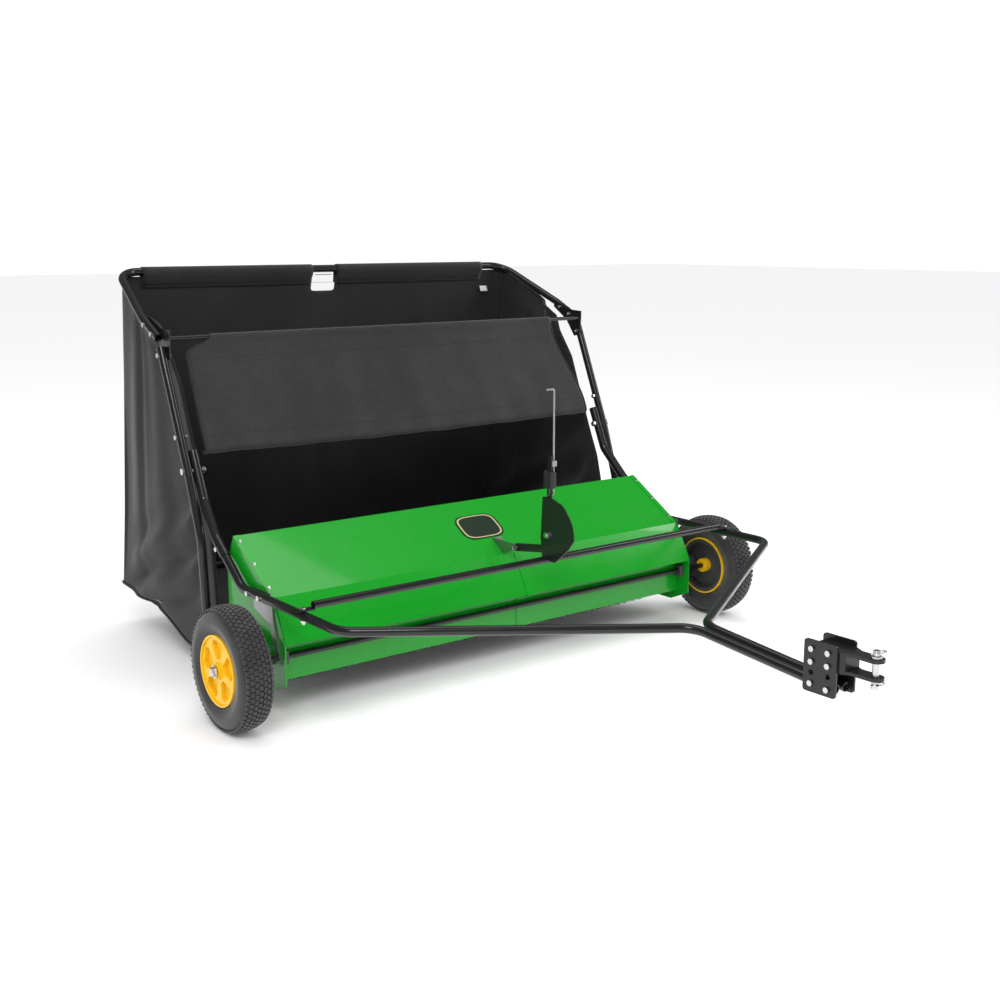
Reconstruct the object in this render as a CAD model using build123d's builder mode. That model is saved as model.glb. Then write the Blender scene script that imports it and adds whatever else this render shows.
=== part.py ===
from build123d import *
import os

# Tow-behind lawn sweeper. Millimetres, +Z up, +X to the machine's right,
# -Y towards the tractor. The origin is on the ground under the middle of the wheel axle.

# ---- driving dimensions ----
wheel_radius = 127.0
tyre_width = 70.0
tyre_shoulder = 26.0
rim_radius = 72.0
rim_wall = 3.5
axle_radius = 6.35
running_gap = 0.08            # radial clearance of a turning fit
body_gap = 0.4                # clearance between pieces that move past each other

plate = 3.0                   # side plates and brackets
skin = 2.0                    # housing sheet
panel_rear = (183.0, 345.0)   # Y, Z of the top panel's rear edge
panel_break = (22.0, 246.0)   # where the panel meets the curved front
front_bulge = (-4.0, 205.0)
front_lip = (-28.0, 157.0)
seam_x = 60.0                 # joint between the two front shells
band_top = (12.0, 146.0)
band_bottom = (12.0, 72.0)
plate_rear_y = 214.0
plate_bottom_z = 46.0

brush_y = 150.0
brush_z = 138.0
brush_radius = 116.0
brush_core = 30.0
brush_rows = 6
brush_shaft_radius = 9.0
strip_thickness = 16.0

gear_module = 3.0
ring_teeth = 40
pinion_teeth = 10
gear_width = 16.0
gear_back = 2.0               # the ring gear's closed outboard side
hub_radius = 17.0
tooth_reach = 2.3             # addendum
tooth_root = 3.0              # dedendum
pinion_shaft_radius = 6.0
pulley_radius = 18.0
pulley_width = 14.0
belt_thickness = 4.0
case_wall = 2.0

tube_radius = 9.5             # 19 mm frame tube
tube_wall = 1.5
draw_z = 247.0
draw_front_y = -262.0
draw_rear = (122.0, 247.0)
arm_foot = (238.0, 334.0)     # Y, Z of the elbow end above the draw tube
arm_bend = (303.0, 402.0)
tongue_half = 14.0
tongue_rear = (-606.0, 230.0)
tongue_front = (-938.0, 199.0)
bracket_y = 60.0              # middle of the drop brackets under the draw tubes
bracket_holes = (bracket_y - 26, bracket_y + 22)
arm_rise = 103.0              # straight top of a hopper arm

dump_z = 465.0
pivot_radius = 4.0
leg_knee = (449.0, 743.0)
leg_joint = (367.0, 549.0)
leg_low = (281.0, 322.0)
leg_foot = (264.0, 78.0)
foot_bolt = (265.5, 96.0)
rear_top = (735.0, 877.0)
rail_straight = 0.28          # share of a side rail that runs straight back before it turns in
bottom_front = (300.0, 84.0)
bottom_rear = (800.0, 120.0)

bag_wall = 3.0
hand_hole = 70.0
screen_wall = 2.0
screen_rod = (424.0, 742.0)
screen_low = (333.0, 508.0)
rod_radius = 5.0
badge_x = 12.0
badge_width = 115.0
badge_length = 78.0

cross_y = -128.0
cross_radius = 8.0
lever_x = 24.0
flat_z = draw_z + tube_radius
cross_z = flat_z + cross_radius
cross_flat = 44.0
lever_pivot = (-125.0, 318.0)
lever_ear = (-125.0, 286.0)   # Y, Z of the lift link's upper pin
link_foot = (-8.0, 268.0)     # Y, Z of the lift link's pin on the housing
link_play = 1.2               # clearance of the lift link's upper hole round its pin
ear_radius = 8.0
rod = 2.2                     # radius of the release rod
wire = 1.6                    # radius of the hairpins' wire
release_travel = 12.0
notches = 6
notch_span = 28.0
grip_width = 16.0
grip_length = 36.0
sector_radius = 86.0
lever_top_z = 494.0
release_top_z = 638.0
detent_z = lever_pivot[1] + sector_radius + rod + body_gap
release_x = lever_x - body_gap - plate / 2 - grip_width / 2 - rod - body_gap
link_x = lever_x - 2 * body_gap - 2 * plate
sector_middle = Plane.YZ.offset(lever_x + plate / 2)

hitch_plate = 4.0
hitch_rear_y = -877.0
hitch_length = 70.0
hitch_top_z = 281.0
hitch_bottom_z = 187.0
spare_hole_radius = 5.2
clevis_z = 252.0
clevis_gap = 26.0
prong = 6.0
clevis_width = 30.0
pin_radius = 6.0
pin_y = -1006.0
hairpin_z = clevis_z - clevis_gap / 2 - prong - 8

bolt_radius = 3.0
bolt_fit = 0.2                # clearance round a bolt

# ---- widths, each half of the machine, from the sweeping width outwards ----
brush_length = 1067.0         # 42 inch sweeping width
brush_end_room = 39.5         # between the brush's end and the side plate
wheel_room = 105.0            # from a side plate to the middle of a tyre
arm_lean = 8.0                # how far the arms lean in towards the top
housing_half = brush_length / 2 + brush_end_room + plate
track_half = housing_half + wheel_room
draw_half = housing_half + body_gap + plate + tube_radius + 0.1
cross_half = draw_half + cross_flat / 2
arm_half = draw_half - arm_lean
leg_half = arm_half + 2 * tube_radius + 2.2
bag_half = arm_half - tube_radius - tube_wall - 2
bottom_half = bag_half - bag_wall - tube_radius - 0.5
rear_half = bag_half + 1
screen_half = bag_half - 48

# ---- drive ----
pitch_ring = gear_module * ring_teeth / 2
pitch_pinion = gear_module * pinion_teeth / 2
pinion_y = pitch_ring - pitch_pinion
inner_half = housing_half - plate
belt_run = Vector(brush_y - pinion_y, brush_z - wheel_radius)
belt_span = belt_run.length
belt_slope = belt_run.get_signed_angle(Vector(1, 0))
belt_middle = (pinion_y + belt_run.X / 2, wheel_radius + belt_run.Y / 2)


def on_leg(height):
    """Y, Z of the front leg's straight upper line at a height."""
    share = (height - leg_joint[1]) / (leg_knee[1] - leg_joint[1])
    return leg_joint[0] + share * (leg_knee[0] - leg_joint[0]), height


def on_rail(out):
    """Y, Z of the side rail's line at a distance behind the knee."""
    share = out / (rear_top[0] - leg_knee[0])
    return leg_knee[0] + out, leg_knee[1] + share * (rear_top[1] - leg_knee[1])


dump_y = on_leg(dump_z)[0]
leg_turn = on_leg(dump_z - 13)
knee_bolt = on_leg(leg_knee[1] - 37)
joint_bolt = on_leg(leg_joint[1] - 14)
rail_bolts = [on_rail(16), on_rail(54)]
SIDES = (("left", -1), ("right", 1))


# ---- shared shapes ----
def save(part, name):
    part.label = name
    export_step(part, f"parts/{name}.step")


def group(*pieces):
    """Several separate solids that share one node."""
    return Compound(children=[solid for piece in pieces for solid in piece.solids()])


def bent_tube(points, bends, radius=tube_radius, wall=tube_wall, holes=(), drops=()):
    """Round tube on a filleted route; holes take bolts along X, drops are (x, y) of upright bolts."""
    with BuildPart() as tube:
        with BuildLine() as route:
            if len(points) == 2:
                Line(*points)
            else:
                FilletPolyline(*points, radius=bends)
        with BuildSketch(Plane(origin=route.line @ 0, z_dir=route.line % 0)):
            Circle(radius)
            if wall:
                Circle(radius - wall, mode=Mode.SUBTRACT)
        sweep()
        if holes:
            with Locations(*[Location(h, (0, 90, 0)) for h in holes]):
                Cylinder(bolt_radius + bolt_fit, 4 * radius, mode=Mode.SUBTRACT)
        for x, y in drops:
            with Locations((x, y, draw_z)):
                Cylinder(bolt_radius + bolt_fit, 4 * radius, mode=Mode.SUBTRACT)
    return tube.part


def side_bolts(places, radius=bolt_radius):
    """Hex bolts with nuts that run along X; places are (head x, nut x, y, z)."""
    head = 0.65 * 2 * radius
    with BuildPart() as bolts:
        for head_x, nut_x, y, z in places:
            way = 1 if nut_x > head_x else -1
            with BuildSketch(Plane.YZ.offset(head_x)):
                with Locations((y, z)):
                    RegularPolygon(1.9 * radius, 6)
            extrude(amount=-way * head)
            with BuildSketch(Plane.YZ.offset(head_x)):
                with Locations((y, z)):
                    Circle(radius)
            extrude(amount=nut_x - head_x + way * 1.6 * head)
            with BuildSketch(Plane.YZ.offset(nut_x)):
                with Locations((y, z)):
                    RegularPolygon(1.9 * radius, 6)
            extrude(amount=way * head)
    return bolts.part


def disc(x, y, z, radius, length, bore=0.0):
    """Cylinder along X from x to x + length, about the line at y, z."""
    with BuildPart() as made:
        with BuildSketch(Plane.YZ.offset(x)):
            with Locations((y, z)):
                Circle(radius)
                if bore:
                    Circle(bore, mode=Mode.SUBTRACT)
        extrude(amount=length)
    return made.part


def span(near, far, side):
    """X where a slab between two distances from the middle starts, on the named side."""
    return near if side > 0 else -far


# ---- housing ----
def housing_outline(inset):
    """Line of the housing's skin in the YZ plane, moved inwards by inset."""
    slope_y, slope_z = panel_rear[0] - panel_break[0], panel_rear[1] - panel_break[1]
    length = (slope_y ** 2 + slope_z ** 2) ** 0.5
    normal = (slope_z / length * inset, -slope_y / length * inset)
    rear = (panel_rear[0] + normal[0], panel_rear[1] + normal[1])
    turn = (panel_break[0] + normal[0], panel_break[1] + normal[1])
    bulge = (front_bulge[0] + inset, front_bulge[1])
    lip = (front_lip[0] + inset, front_lip[1] + inset)
    top = (band_top[0] + inset, band_top[1] + inset)
    bottom = (band_bottom[0] + inset, band_bottom[1])
    return rear, turn, bulge, lip, top, bottom


def side_plate(side):
    with BuildPart() as part:
        with BuildSketch(Plane.YZ.offset(span(housing_half - plate, housing_half, side))):
            with BuildLine():
                rear, turn, bulge, lip, _, _ = housing_outline(skin + body_gap / 4)
                Line(rear, turn)
                front_low = (front_lip[0] + skin, band_bottom[1])
                ThreePointArc(turn, bulge, lip)
                Line(lip, front_low)
                foot = (plate_rear_y - 60, plate_bottom_z)
                Line(front_low, (band_bottom[0] + 20, plate_bottom_z))
                Line((band_bottom[0] + 20, plate_bottom_z), foot)
                heel = (plate_rear_y, plate_bottom_z + 60)
                Line(foot, heel)
                Line(heel, (plate_rear_y, rear[1] - 62))
                Line((plate_rear_y, rear[1] - 62), rear)
            make_face()
            with Locations((0, wheel_radius)):
                Circle(axle_radius + running_gap, mode=Mode.SUBTRACT)
            with Locations((pinion_y, wheel_radius)):
                Circle(pinion_shaft_radius + 4, mode=Mode.SUBTRACT)
            with Locations((brush_y, brush_z)):
                Circle(brush_shaft_radius + 4, mode=Mode.SUBTRACT)
        extrude(amount=plate)
    return part.part




def top_panel():
    rear, turn, *_ = housing_outline(0)
    rear_in, turn_in, *_ = housing_outline(skin)
    with BuildPart() as part:
        with BuildSketch(Plane.YZ.offset(-housing_half)):
            with BuildLine():
                Polyline(turn, rear, rear_in, turn_in, close=True)
            make_face()
        extrude(amount=2 * housing_half)
        hem = 14.0
        for side in (-1, 1):
            # folded hem along each end, doubled over the panel
            with BuildSketch(Plane.YZ.offset(span(housing_half - hem, housing_half, side))):
                with BuildLine():
                    up_rear, up_turn, *_ = housing_outline(-1.2)
                    Polyline(turn, rear, up_rear, up_turn, close=True)
                make_face()
            extrude(amount=hem)
    return part.part


def front_shell(side):
    _, turn, bulge, lip, top, bottom = housing_outline(0)
    _, turn_in, bulge_in, lip_in, top_in, bottom_in = housing_outline(skin)
    end = side * (inner_half - body_gap / 4)
    with BuildPart() as part:
        with BuildSketch(Plane.YZ.offset(seam_x)):
            with BuildLine():
                ThreePointArc(turn, bulge, lip)
                Polyline(lip, top, bottom, bottom_in, top_in, lip_in)
                ThreePointArc(lip_in, bulge_in, turn_in)
                Line(turn_in, turn)
            make_face()
        extrude(amount=end - seam_x)
    return part.part


def seam_strap():
    _, turn, bulge, lip, top, bottom = housing_outline(-1.5)
    _, turn_in, bulge_in, lip_in, top_in, bottom_in = housing_outline(0)
    with BuildPart() as part:
        with BuildSketch(Plane.YZ.offset(seam_x - 14)):
            with BuildLine():
                ThreePointArc(turn, bulge, lip)
                Polyline(lip, top, bottom, bottom_in, top_in, lip_in)
                ThreePointArc(lip_in, bulge_in, turn_in)
                Line(turn_in, turn)
            make_face()
        extrude(amount=28)
        with BuildSketch(Plane.YZ.offset(seam_x - 14)):
            with Locations((0, wheel_radius)):
                Circle(axle_radius + body_gap)
        extrude(amount=28, mode=Mode.SUBTRACT)
    return part.part


def rear_lip():
    """Stiffening angle between the side plates behind the brush."""
    with BuildPart() as part:
        with BuildSketch(Plane.YZ.offset(-inner_half)):
            with BuildLine():
                rear, turn, *_ = housing_outline(skin)
                y, z = rear
                Polyline((y, z), (y, z - 22), (y - skin, z - 22), (y - skin, z - 1.3), close=True)
            make_face()
        extrude(amount=2 * inner_half)
    return part.part


def gear_case(side):
    """Shallow cover over the belt, from the side plate towards the wheel."""
    depth = pulley_width + 10
    outer = pulley_radius + belt_thickness + 5
    with BuildPart() as part:
        for radius, start, end, mode in (
            (outer, housing_half, housing_half + depth, Mode.ADD),
            (outer - case_wall, housing_half, housing_half + depth - case_wall, Mode.SUBTRACT),
        ):
            with BuildSketch(Plane.YZ.offset(span(start, end, side))):
                with Locations(belt_middle):
                    SlotCenterToCenter(belt_span, 2 * radius, rotation=belt_slope)
            extrude(amount=end - start, mode=mode)
        with BuildSketch(Plane.YZ.offset(span(housing_half, housing_half + depth, side))):
            with Locations((pinion_y, wheel_radius)):
                Circle(pinion_shaft_radius + 1)
        extrude(amount=depth, mode=Mode.SUBTRACT)
    return part.part


def drive_belt(side):
    """Toothed belt loop round the two pulleys, running just clear of them."""
    near = housing_half + 4
    inner = pulley_radius + body_gap / 2
    with BuildPart() as part:
        with BuildSketch(Plane.YZ.offset(span(near, near + pulley_width, side))):
            with Locations(belt_middle):
                SlotCenterToCenter(belt_span, 2 * (inner + belt_thickness), rotation=belt_slope)
                SlotCenterToCenter(belt_span, 2 * inner, rotation=belt_slope, mode=Mode.SUBTRACT)
        extrude(amount=pulley_width)
    return part.part


# ---- wheels ----
def tyre(side):
    half = tyre_width / 2
    with BuildPart() as part:
        with BuildSketch(Plane.XY):
            with BuildLine():
                Polyline((-half, rim_radius), (-half, wheel_radius - tyre_shoulder))
                TangentArc((-half, wheel_radius - tyre_shoulder), (-half + tyre_shoulder, wheel_radius),
                           tangent=(0, 1))
                Line((-half + tyre_shoulder, wheel_radius), (half - tyre_shoulder, wheel_radius))
                TangentArc((half - tyre_shoulder, wheel_radius), (half, wheel_radius - tyre_shoulder),
                           tangent=(1, 0))
                Polyline((half, wheel_radius - tyre_shoulder), (half, rim_radius), (-half, rim_radius))
            make_face()
        revolve(axis=Axis.X)
    return part.part.moved(Location((side * track_half, 0, wheel_radius)))


def wheel_disc(side):
    """Moulded wheel: drum, web with five pockets on the outboard side, long hub."""
    half = tyre_width / 2 - 3
    web_out = half - 4
    web_in = web_out - 12
    bore = axle_radius + running_gap
    with BuildPart() as part:
        with BuildSketch(Plane.YZ.offset(-half)):
            Circle(rim_radius)
            Circle(rim_radius - rim_wall, mode=Mode.SUBTRACT)
        extrude(amount=2 * half)
        with BuildSketch(Plane.YZ.offset(web_in)):
            Circle(rim_radius)
        extrude(amount=web_out - web_in)
        with BuildSketch(Plane.YZ.offset(-half)):
            Circle(hub_radius)
        extrude(amount=2 * half + 2)
        with BuildSketch(Plane.YZ.offset(web_out)):
            with PolarLocations(0, 5, start_angle=90):
                Polygon((24, -8), (49, -24), (60, -18), (60, 18), (49, 24), (24, 8), align=None)
        extrude(amount=-9, mode=Mode.SUBTRACT)
        with BuildSketch(Plane.YZ.offset(-half)):
            Circle(bore)
        extrude(amount=2 * half + 2, mode=Mode.SUBTRACT)
    made = part.part if side > 0 else part.part.mirror(Plane.YZ)
    return made.moved(Location((side * track_half, 0, wheel_radius)))


gear_near = track_half - tyre_width / 2 + 4      # inboard face of the ring gear


def ring_gear(side):
    step = 360 / ring_teeth
    root = pitch_ring + tooth_root
    tip = pitch_ring - tooth_reach
    with BuildPart() as part:
        with BuildSketch(Plane.YZ.offset(span(gear_near, gear_near + gear_width, side))):
            with Locations((0, wheel_radius)):
                Circle(rim_radius - rim_wall)
                Circle(root, mode=Mode.SUBTRACT)
                with PolarLocations(0, ring_teeth, start_angle=step / 2):
                    Polygon((root + 1, -2.9), (tip, -1.1), (tip, 1.1), (root + 1, 2.9), align=None)
        extrude(amount=gear_width)
        back = gear_near + gear_width
        with BuildSketch(Plane.YZ.offset(span(back, back + gear_back, side))):
            with Locations((0, wheel_radius)):
                Circle(rim_radius - rim_wall)
                Circle(hub_radius + running_gap, mode=Mode.SUBTRACT)
        extrude(amount=gear_back)
    return part.part


def pinion(side):
    """Pinion, its shaft through the side plate, and the belt pulley, all keyed together."""
    root = pitch_pinion - tooth_root
    tip = pitch_pinion + tooth_reach
    shaft_start = housing_half - plate - 8
    with BuildPart() as part:
        with BuildSketch(Plane.YZ.offset(span(gear_near + 1, gear_near + gear_width - body_gap, side))):
            with Locations((pinion_y, wheel_radius)):
                Circle(root)
                with PolarLocations(0, pinion_teeth):
                    Polygon((root - 1, -2.6), (tip, -1.0), (tip, 1.0), (root - 1, 2.6), align=None)
        extrude(amount=gear_width - 1 - body_gap)
        with BuildSketch(Plane.YZ.offset(span(shaft_start, gear_near + 1, side))):
            with Locations((pinion_y, wheel_radius)):
                Circle(pinion_shaft_radius)
        extrude(amount=gear_near + 1 - shaft_start)
        with BuildSketch(Plane.YZ.offset(span(housing_half + 4, housing_half + 4 + pulley_width, side))):
            with Locations((pinion_y, wheel_radius)):
                Circle(pulley_radius)
        extrude(amount=pulley_width)
    return part.part


# ---- brush ----
def brush_shaft():
    length = 2 * (housing_half + 4 + pulley_width)
    return disc(-length / 2, brush_y, brush_z, brush_shaft_radius, length)


def brush_pulleys():
    with BuildPart() as part:
        for _, side in SIDES:
            with BuildSketch(Plane.YZ.offset(span(housing_half + 4, housing_half + 4 + pulley_width, side))):
                with Locations((brush_y, brush_z)):
                    Circle(pulley_radius)
                    Circle(brush_shaft_radius, mode=Mode.SUBTRACT)
            extrude(amount=pulley_width)
    return part.part


def brush_spiders():
    """Discs on the shaft that carry the brush bars."""
    with BuildPart() as part:
        for x in (-brush_length / 2 + 3, -brush_length / 6, brush_length / 6, brush_length / 2 - 9):
            with BuildSketch(Plane.YZ.offset(x)):
                with Locations((brush_y, brush_z)):
                    Circle(brush_core)
                    Circle(brush_shaft_radius, mode=Mode.SUBTRACT)
            extrude(amount=6)
    return part.part


def brush_bars():
    """Channels that clamp the bristle strips, one for each row."""
    half = strip_thickness / 2
    with BuildPart() as part:
        with BuildSketch(Plane.YZ.offset(-brush_length / 2)):
            with Locations((brush_y, brush_z)):
                with PolarLocations(0, brush_rows):
                    low, top = brush_core, brush_core + 16
                    Polygon((low, -half - 2), (top, -half - 2), (top, -half), (low + 2, -half),
                            (low + 2, half), (top, half), (top, half + 2), (low, half + 2), align=None)
        extrude(amount=brush_length)
    return part.part


def bristle_strips():
    half = strip_thickness / 2
    with BuildPart() as part:
        with BuildSketch(Plane.YZ.offset(-brush_length / 2)):
            with Locations((brush_y, brush_z)):
                with PolarLocations(0, brush_rows):
                    low, top = brush_core + 2, brush_core + 16
                    Polygon((low, -half), (top, -half), (brush_radius, -half - 3), (brush_radius, half + 3),
                            (top, half), (low, half), align=None)
        extrude(amount=brush_length)
    return part.part


# ---- axle and brackets ----
def axle_rod():
    half = track_half + tyre_width / 2 + 4
    return disc(-half, 0, wheel_radius, axle_radius, 2 * half)


def axle_blocks():
    """Bearing blocks just inside the side plates that carry the axle."""
    with BuildPart() as part:
        for _, side in SIDES:
            with BuildSketch(Plane.YZ.offset(span(inner_half - 14, inner_half, side))):
                with Locations((-1.5, wheel_radius)):
                    Rectangle(19, 28)
                with Locations((0, wheel_radius)):
                    Circle(axle_radius + running_gap, mode=Mode.SUBTRACT)
            extrude(amount=14)
    return part.part


def shaft_bushes(y, z, radius):
    """Flanged bushes in the side plates."""
    with BuildPart() as part:
        for _, side in SIDES:
            for start, end, outer in ((housing_half - plate, housing_half, 4), (inner_half - 2, inner_half, 8)):
                with BuildSketch(Plane.YZ.offset(span(start, end, side))):
                    with Locations((y, z)):
                        Circle(radius + outer)
                        Circle(radius + running_gap, mode=Mode.SUBTRACT)
                extrude(amount=end - start)
    return part.part


def axle_bracket(side):
    """Drop bracket from the draw tube down to the axle, between tube and side plate."""
    near = housing_half + body_gap
    with BuildPart() as part:
        with BuildSketch(Plane.YZ.offset(span(near, near + plate, side))):
            with BuildLine():
                Polyline((-14, wheel_radius - 12), (14, wheel_radius - 12), (24, 190), (bracket_y + 34, 212),
                         (bracket_y + 34, draw_z + 8), (bracket_y - 40, draw_z + 8), (bracket_y - 46, 205),
                         close=True)
            make_face()
            with Locations((0, wheel_radius)):
                Circle(axle_radius + running_gap, mode=Mode.SUBTRACT)
            with Locations(*[(y, draw_z) for y in bracket_holes]):
                Circle(bolt_radius + bolt_fit, mode=Mode.SUBTRACT)
        extrude(amount=plate)
    return part.part


def bracket_bolts():
    """Bolts in from outside: two a side into the drop brackets, one into the elbow's sleeve."""
    sleeve = tube_radius + running_gap + tube_wall
    with BuildPart() as bolts:
        for _, side in SIDES:
            places = [(tube_radius, housing_half + body_gap, y, draw_z) for y in bracket_holes]
            for reach, end, y, z in (*places, (sleeve, draw_half - sleeve, *sleeve_bolt)):
                head = draw_half + reach
                with BuildSketch(Plane.YZ.offset(side * head)):
                    with Locations((y, z)):
                        RegularPolygon(1.9 * bolt_radius, 6)
                extrude(amount=side * 4)
                with BuildSketch(Plane.YZ.offset(side * head)):
                    with Locations((y, z)):
                        Circle(bolt_radius)
                extrude(amount=side * (end - head))
    return bolts.part


def hub_nut(side):
    """Washer and domed lock nut on the axle's end."""
    start = track_half + tyre_width / 2 + 1
    with BuildPart() as part:
        for near, far, outer, bore in ((0, 2, 13, axle_radius), (2, 3, 10, axle_radius), (3, 8, 10, 0)):
            with BuildSketch(Plane.YZ.offset(side * (start + near))):
                with Locations((0, wheel_radius)):
                    if outer > 10:
                        Circle(outer)
                    else:
                        RegularPolygon(outer, 6)
                    if bore:
                        Circle(bore, mode=Mode.SUBTRACT)
            extrude(amount=side * (far - near))
        fillet(part.faces().sort_by(Axis.X)[-1 if side > 0 else 0].edges(), 2)
    return part.part


# ---- draw frame ----
def on_tongue(y):
    """Height of the tongue's middle line at y."""
    share = (y - tongue_front[0]) / (tongue_rear[0] - tongue_front[0])
    return tongue_front[1] + share * (tongue_rear[1] - tongue_front[1])


hitch_columns = (hitch_rear_y - 17, hitch_rear_y - 52)
tongue_bolts = [(y, on_tongue(y)) for y in hitch_columns]
clevis_bolts = [(y, clevis_z + z) for y in hitch_columns for z in (13, -10)]
rise = (arm_foot[0] - draw_rear[0], arm_foot[1] - draw_rear[1])
swage = [(draw_rear[0] + share * rise[0], draw_rear[1] + share * rise[1]) for share in (0.95, 0.62, 0.78)]
swage_end, sleeve_start, sleeve_bolt = swage


def draw_tube(side):
    """From the hitch, out to the machine's side, back past the housing and up to the hopper arm."""
    x = side * draw_half
    tongue_x = side * tongue_half
    points = [(tongue_x, *tongue_front), (tongue_x, *tongue_rear), (x, draw_front_y, draw_z),
              (x, *draw_rear), (x, *swage_end)]
    holes = [(x, y, draw_z) for y in bracket_holes]
    holes += [(tongue_x, *place) for place in tongue_bolts]
    return bent_tube(points, 55, holes=[*holes, (x, *sleeve_bolt)], drops=[(x, cross_y)])


def hopper_arm(side):
    """Elbow tube whose foot sleeves over the draw tube and whose top carries the dump pivot."""
    x, top_x = side * draw_half, side * arm_half
    slope = (dump_z - arm_bend[1]) / (dump_y - arm_bend[0])
    top = (arm_bend[0] + arm_rise / slope, arm_bend[1] + arm_rise)
    points = [(x, *sleeve_start), (x, *arm_foot), (top_x, *arm_bend), (top_x, *top)]
    with BuildPart() as part:
        with BuildLine() as route:
            FilletPolyline(*points, radius=34)
        with BuildSketch(Plane(origin=route.line @ 0, z_dir=route.line % 0)):
            Circle(tube_radius + running_gap + tube_wall)
            Circle(tube_radius + running_gap, mode=Mode.SUBTRACT)
        sweep()
        with Locations(Location((top_x, dump_y, dump_z), (0, 90, 0))):
            Cylinder(pivot_radius + running_gap, 60, mode=Mode.SUBTRACT)
        with Locations(Location((x, *sleeve_bolt), (0, 90, 0))):
            Cylinder(bolt_radius + bolt_fit, 60, mode=Mode.SUBTRACT)
    return part.part


def cross_tube():
    """Straight tube across the draw tubes with flattened, bolted ends."""
    with BuildPart() as part:
        with BuildSketch(Plane.YZ.offset(-cross_half + cross_flat)):
            with Locations((cross_y, cross_z)):
                Circle(cross_radius)
                Circle(cross_radius - tube_wall, mode=Mode.SUBTRACT)
        extrude(amount=2 * (cross_half - cross_flat))
        for side in (-1, 1):
            with Locations((side * (cross_half - cross_flat / 2), cross_y, flat_z + tube_wall)):
                Box(cross_flat, 2.4 * cross_radius, 2 * tube_wall)
            with Locations((side * draw_half, cross_y, flat_z)):
                Cylinder(bolt_radius + bolt_fit, 40, mode=Mode.SUBTRACT)
    return part.part


def cross_bolts():
    """Bolts down through the cross tube's flattened ends and the draw tubes."""
    with BuildPart() as part:
        for side in (-1, 1):
            for top, reach, shape in ((flat_z + 2 * tube_wall, 4, 6), (draw_z - tube_radius, -4, 6)):
                with BuildSketch(Plane.XY.offset(top)):
                    with Locations((side * draw_half, cross_y)):
                        RegularPolygon(1.9 * bolt_radius, shape)
                extrude(amount=reach)
            with BuildSketch(Plane.XY.offset(flat_z + 2 * tube_wall)):
                with Locations((side * draw_half, cross_y)):
                    Circle(bolt_radius)
            extrude(amount=-2 * tube_wall - 2 * tube_radius - 8)
    return part.part


# ---- height lever ----
def lever_sector():
    """Quadrant plate with detent notches, saddled on the cross tube."""
    y0, z0 = lever_pivot
    saddle = cross_z - cross_radius / 2
    half_way = sector_radius * 0.70711
    with BuildPart() as part:
        with BuildSketch(Plane.YZ.offset(lever_x)):
            with BuildLine():
                Polyline((y0, z0 + sector_radius), (y0 + 18, z0 + sector_radius - 3), (y0 + 24, z0 - 8),
                         (y0 + 18, saddle), (y0 - 26, saddle), (y0 - 70, z0 - 20), (y0 - sector_radius, z0))
                ThreePointArc((y0 - sector_radius, z0), (y0 - half_way, z0 + half_way), (y0, z0 + sector_radius))
            make_face()
            with Locations((cross_y, cross_z)):
                Circle(cross_radius, mode=Mode.SUBTRACT)
            with Locations((y0, z0)):
                Circle(pivot_radius + running_gap, mode=Mode.SUBTRACT)
                with PolarLocations(sector_radius, notches, start_angle=90, angular_range=notch_span):
                    Circle(rod + 1, mode=Mode.SUBTRACT)
        extrude(amount=plate)
    return part.part


def lever_arm():
    """Flat hand lever beside the sector: an ear for the lift link, a window for the detent foot."""
    y0, z0 = lever_pivot
    ear_y, ear_z = lever_ear
    with BuildPart() as part:
        with BuildSketch(Plane.YZ.offset(lever_x - body_gap - plate)):
            with BuildLine():
                Polyline((y0 - 9, z0), (y0 - 7, lever_top_z), (y0 + 6, lever_top_z), (y0 + 9, z0),
                         (ear_y + ear_radius, ear_z), (ear_y - ear_radius, ear_z), close=True)
            make_face()
            with Locations(lever_ear):
                Circle(ear_radius)
            with Locations(lever_pivot):
                Circle(pivot_radius + running_gap, mode=Mode.SUBTRACT)
            with Locations(lever_ear):
                Circle(bolt_radius, mode=Mode.SUBTRACT)
            with Locations((y0, detent_z + release_travel / 2)):
                Rectangle(2 * (rod + body_gap), release_travel + 2 * (rod + body_gap), mode=Mode.SUBTRACT)
        extrude(amount=plate)
    return part.part


def lever_grip():
    """Moulded sleeve on the lever, above the sector."""
    y0 = lever_pivot[0]
    low = detent_z + release_travel + rod + 3
    middle_x = lever_x - body_gap - plate / 2
    with BuildPart() as part:
        with BuildSketch(Plane.XY.offset(low)):
            with Locations((middle_x, y0)):
                RectangleRounded(grip_width, 32, 6)
        extrude(amount=grip_length)
        fillet(part.edges().group_by(Axis.Z)[-1], 3)
        with BuildSketch(Plane.YZ.offset(middle_x - plate / 2)):
            with Locations((y0, low + grip_length / 2)):
                Rectangle(20, grip_length + 4)
        extrude(amount=plate, mode=Mode.SUBTRACT)
    return part.part


def lever_pivot_bolt():
    ends = (lever_x - body_gap - plate - 0.3, lever_x + plate)
    return side_bolts([(*ends, *lever_pivot)], pivot_radius).mirror(sector_middle)


def release_rod():
    """Rod up the lever's face: bent handle on top, foot crossing the lever above the sector."""
    y0 = lever_pivot[0]
    points = [(lever_x + plate, y0, detent_z), (release_x, y0, detent_z),
              (release_x, y0, release_top_z), (release_x + 22, y0, release_top_z)]
    return bent_tube(points, 5, rod, 0)


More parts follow.
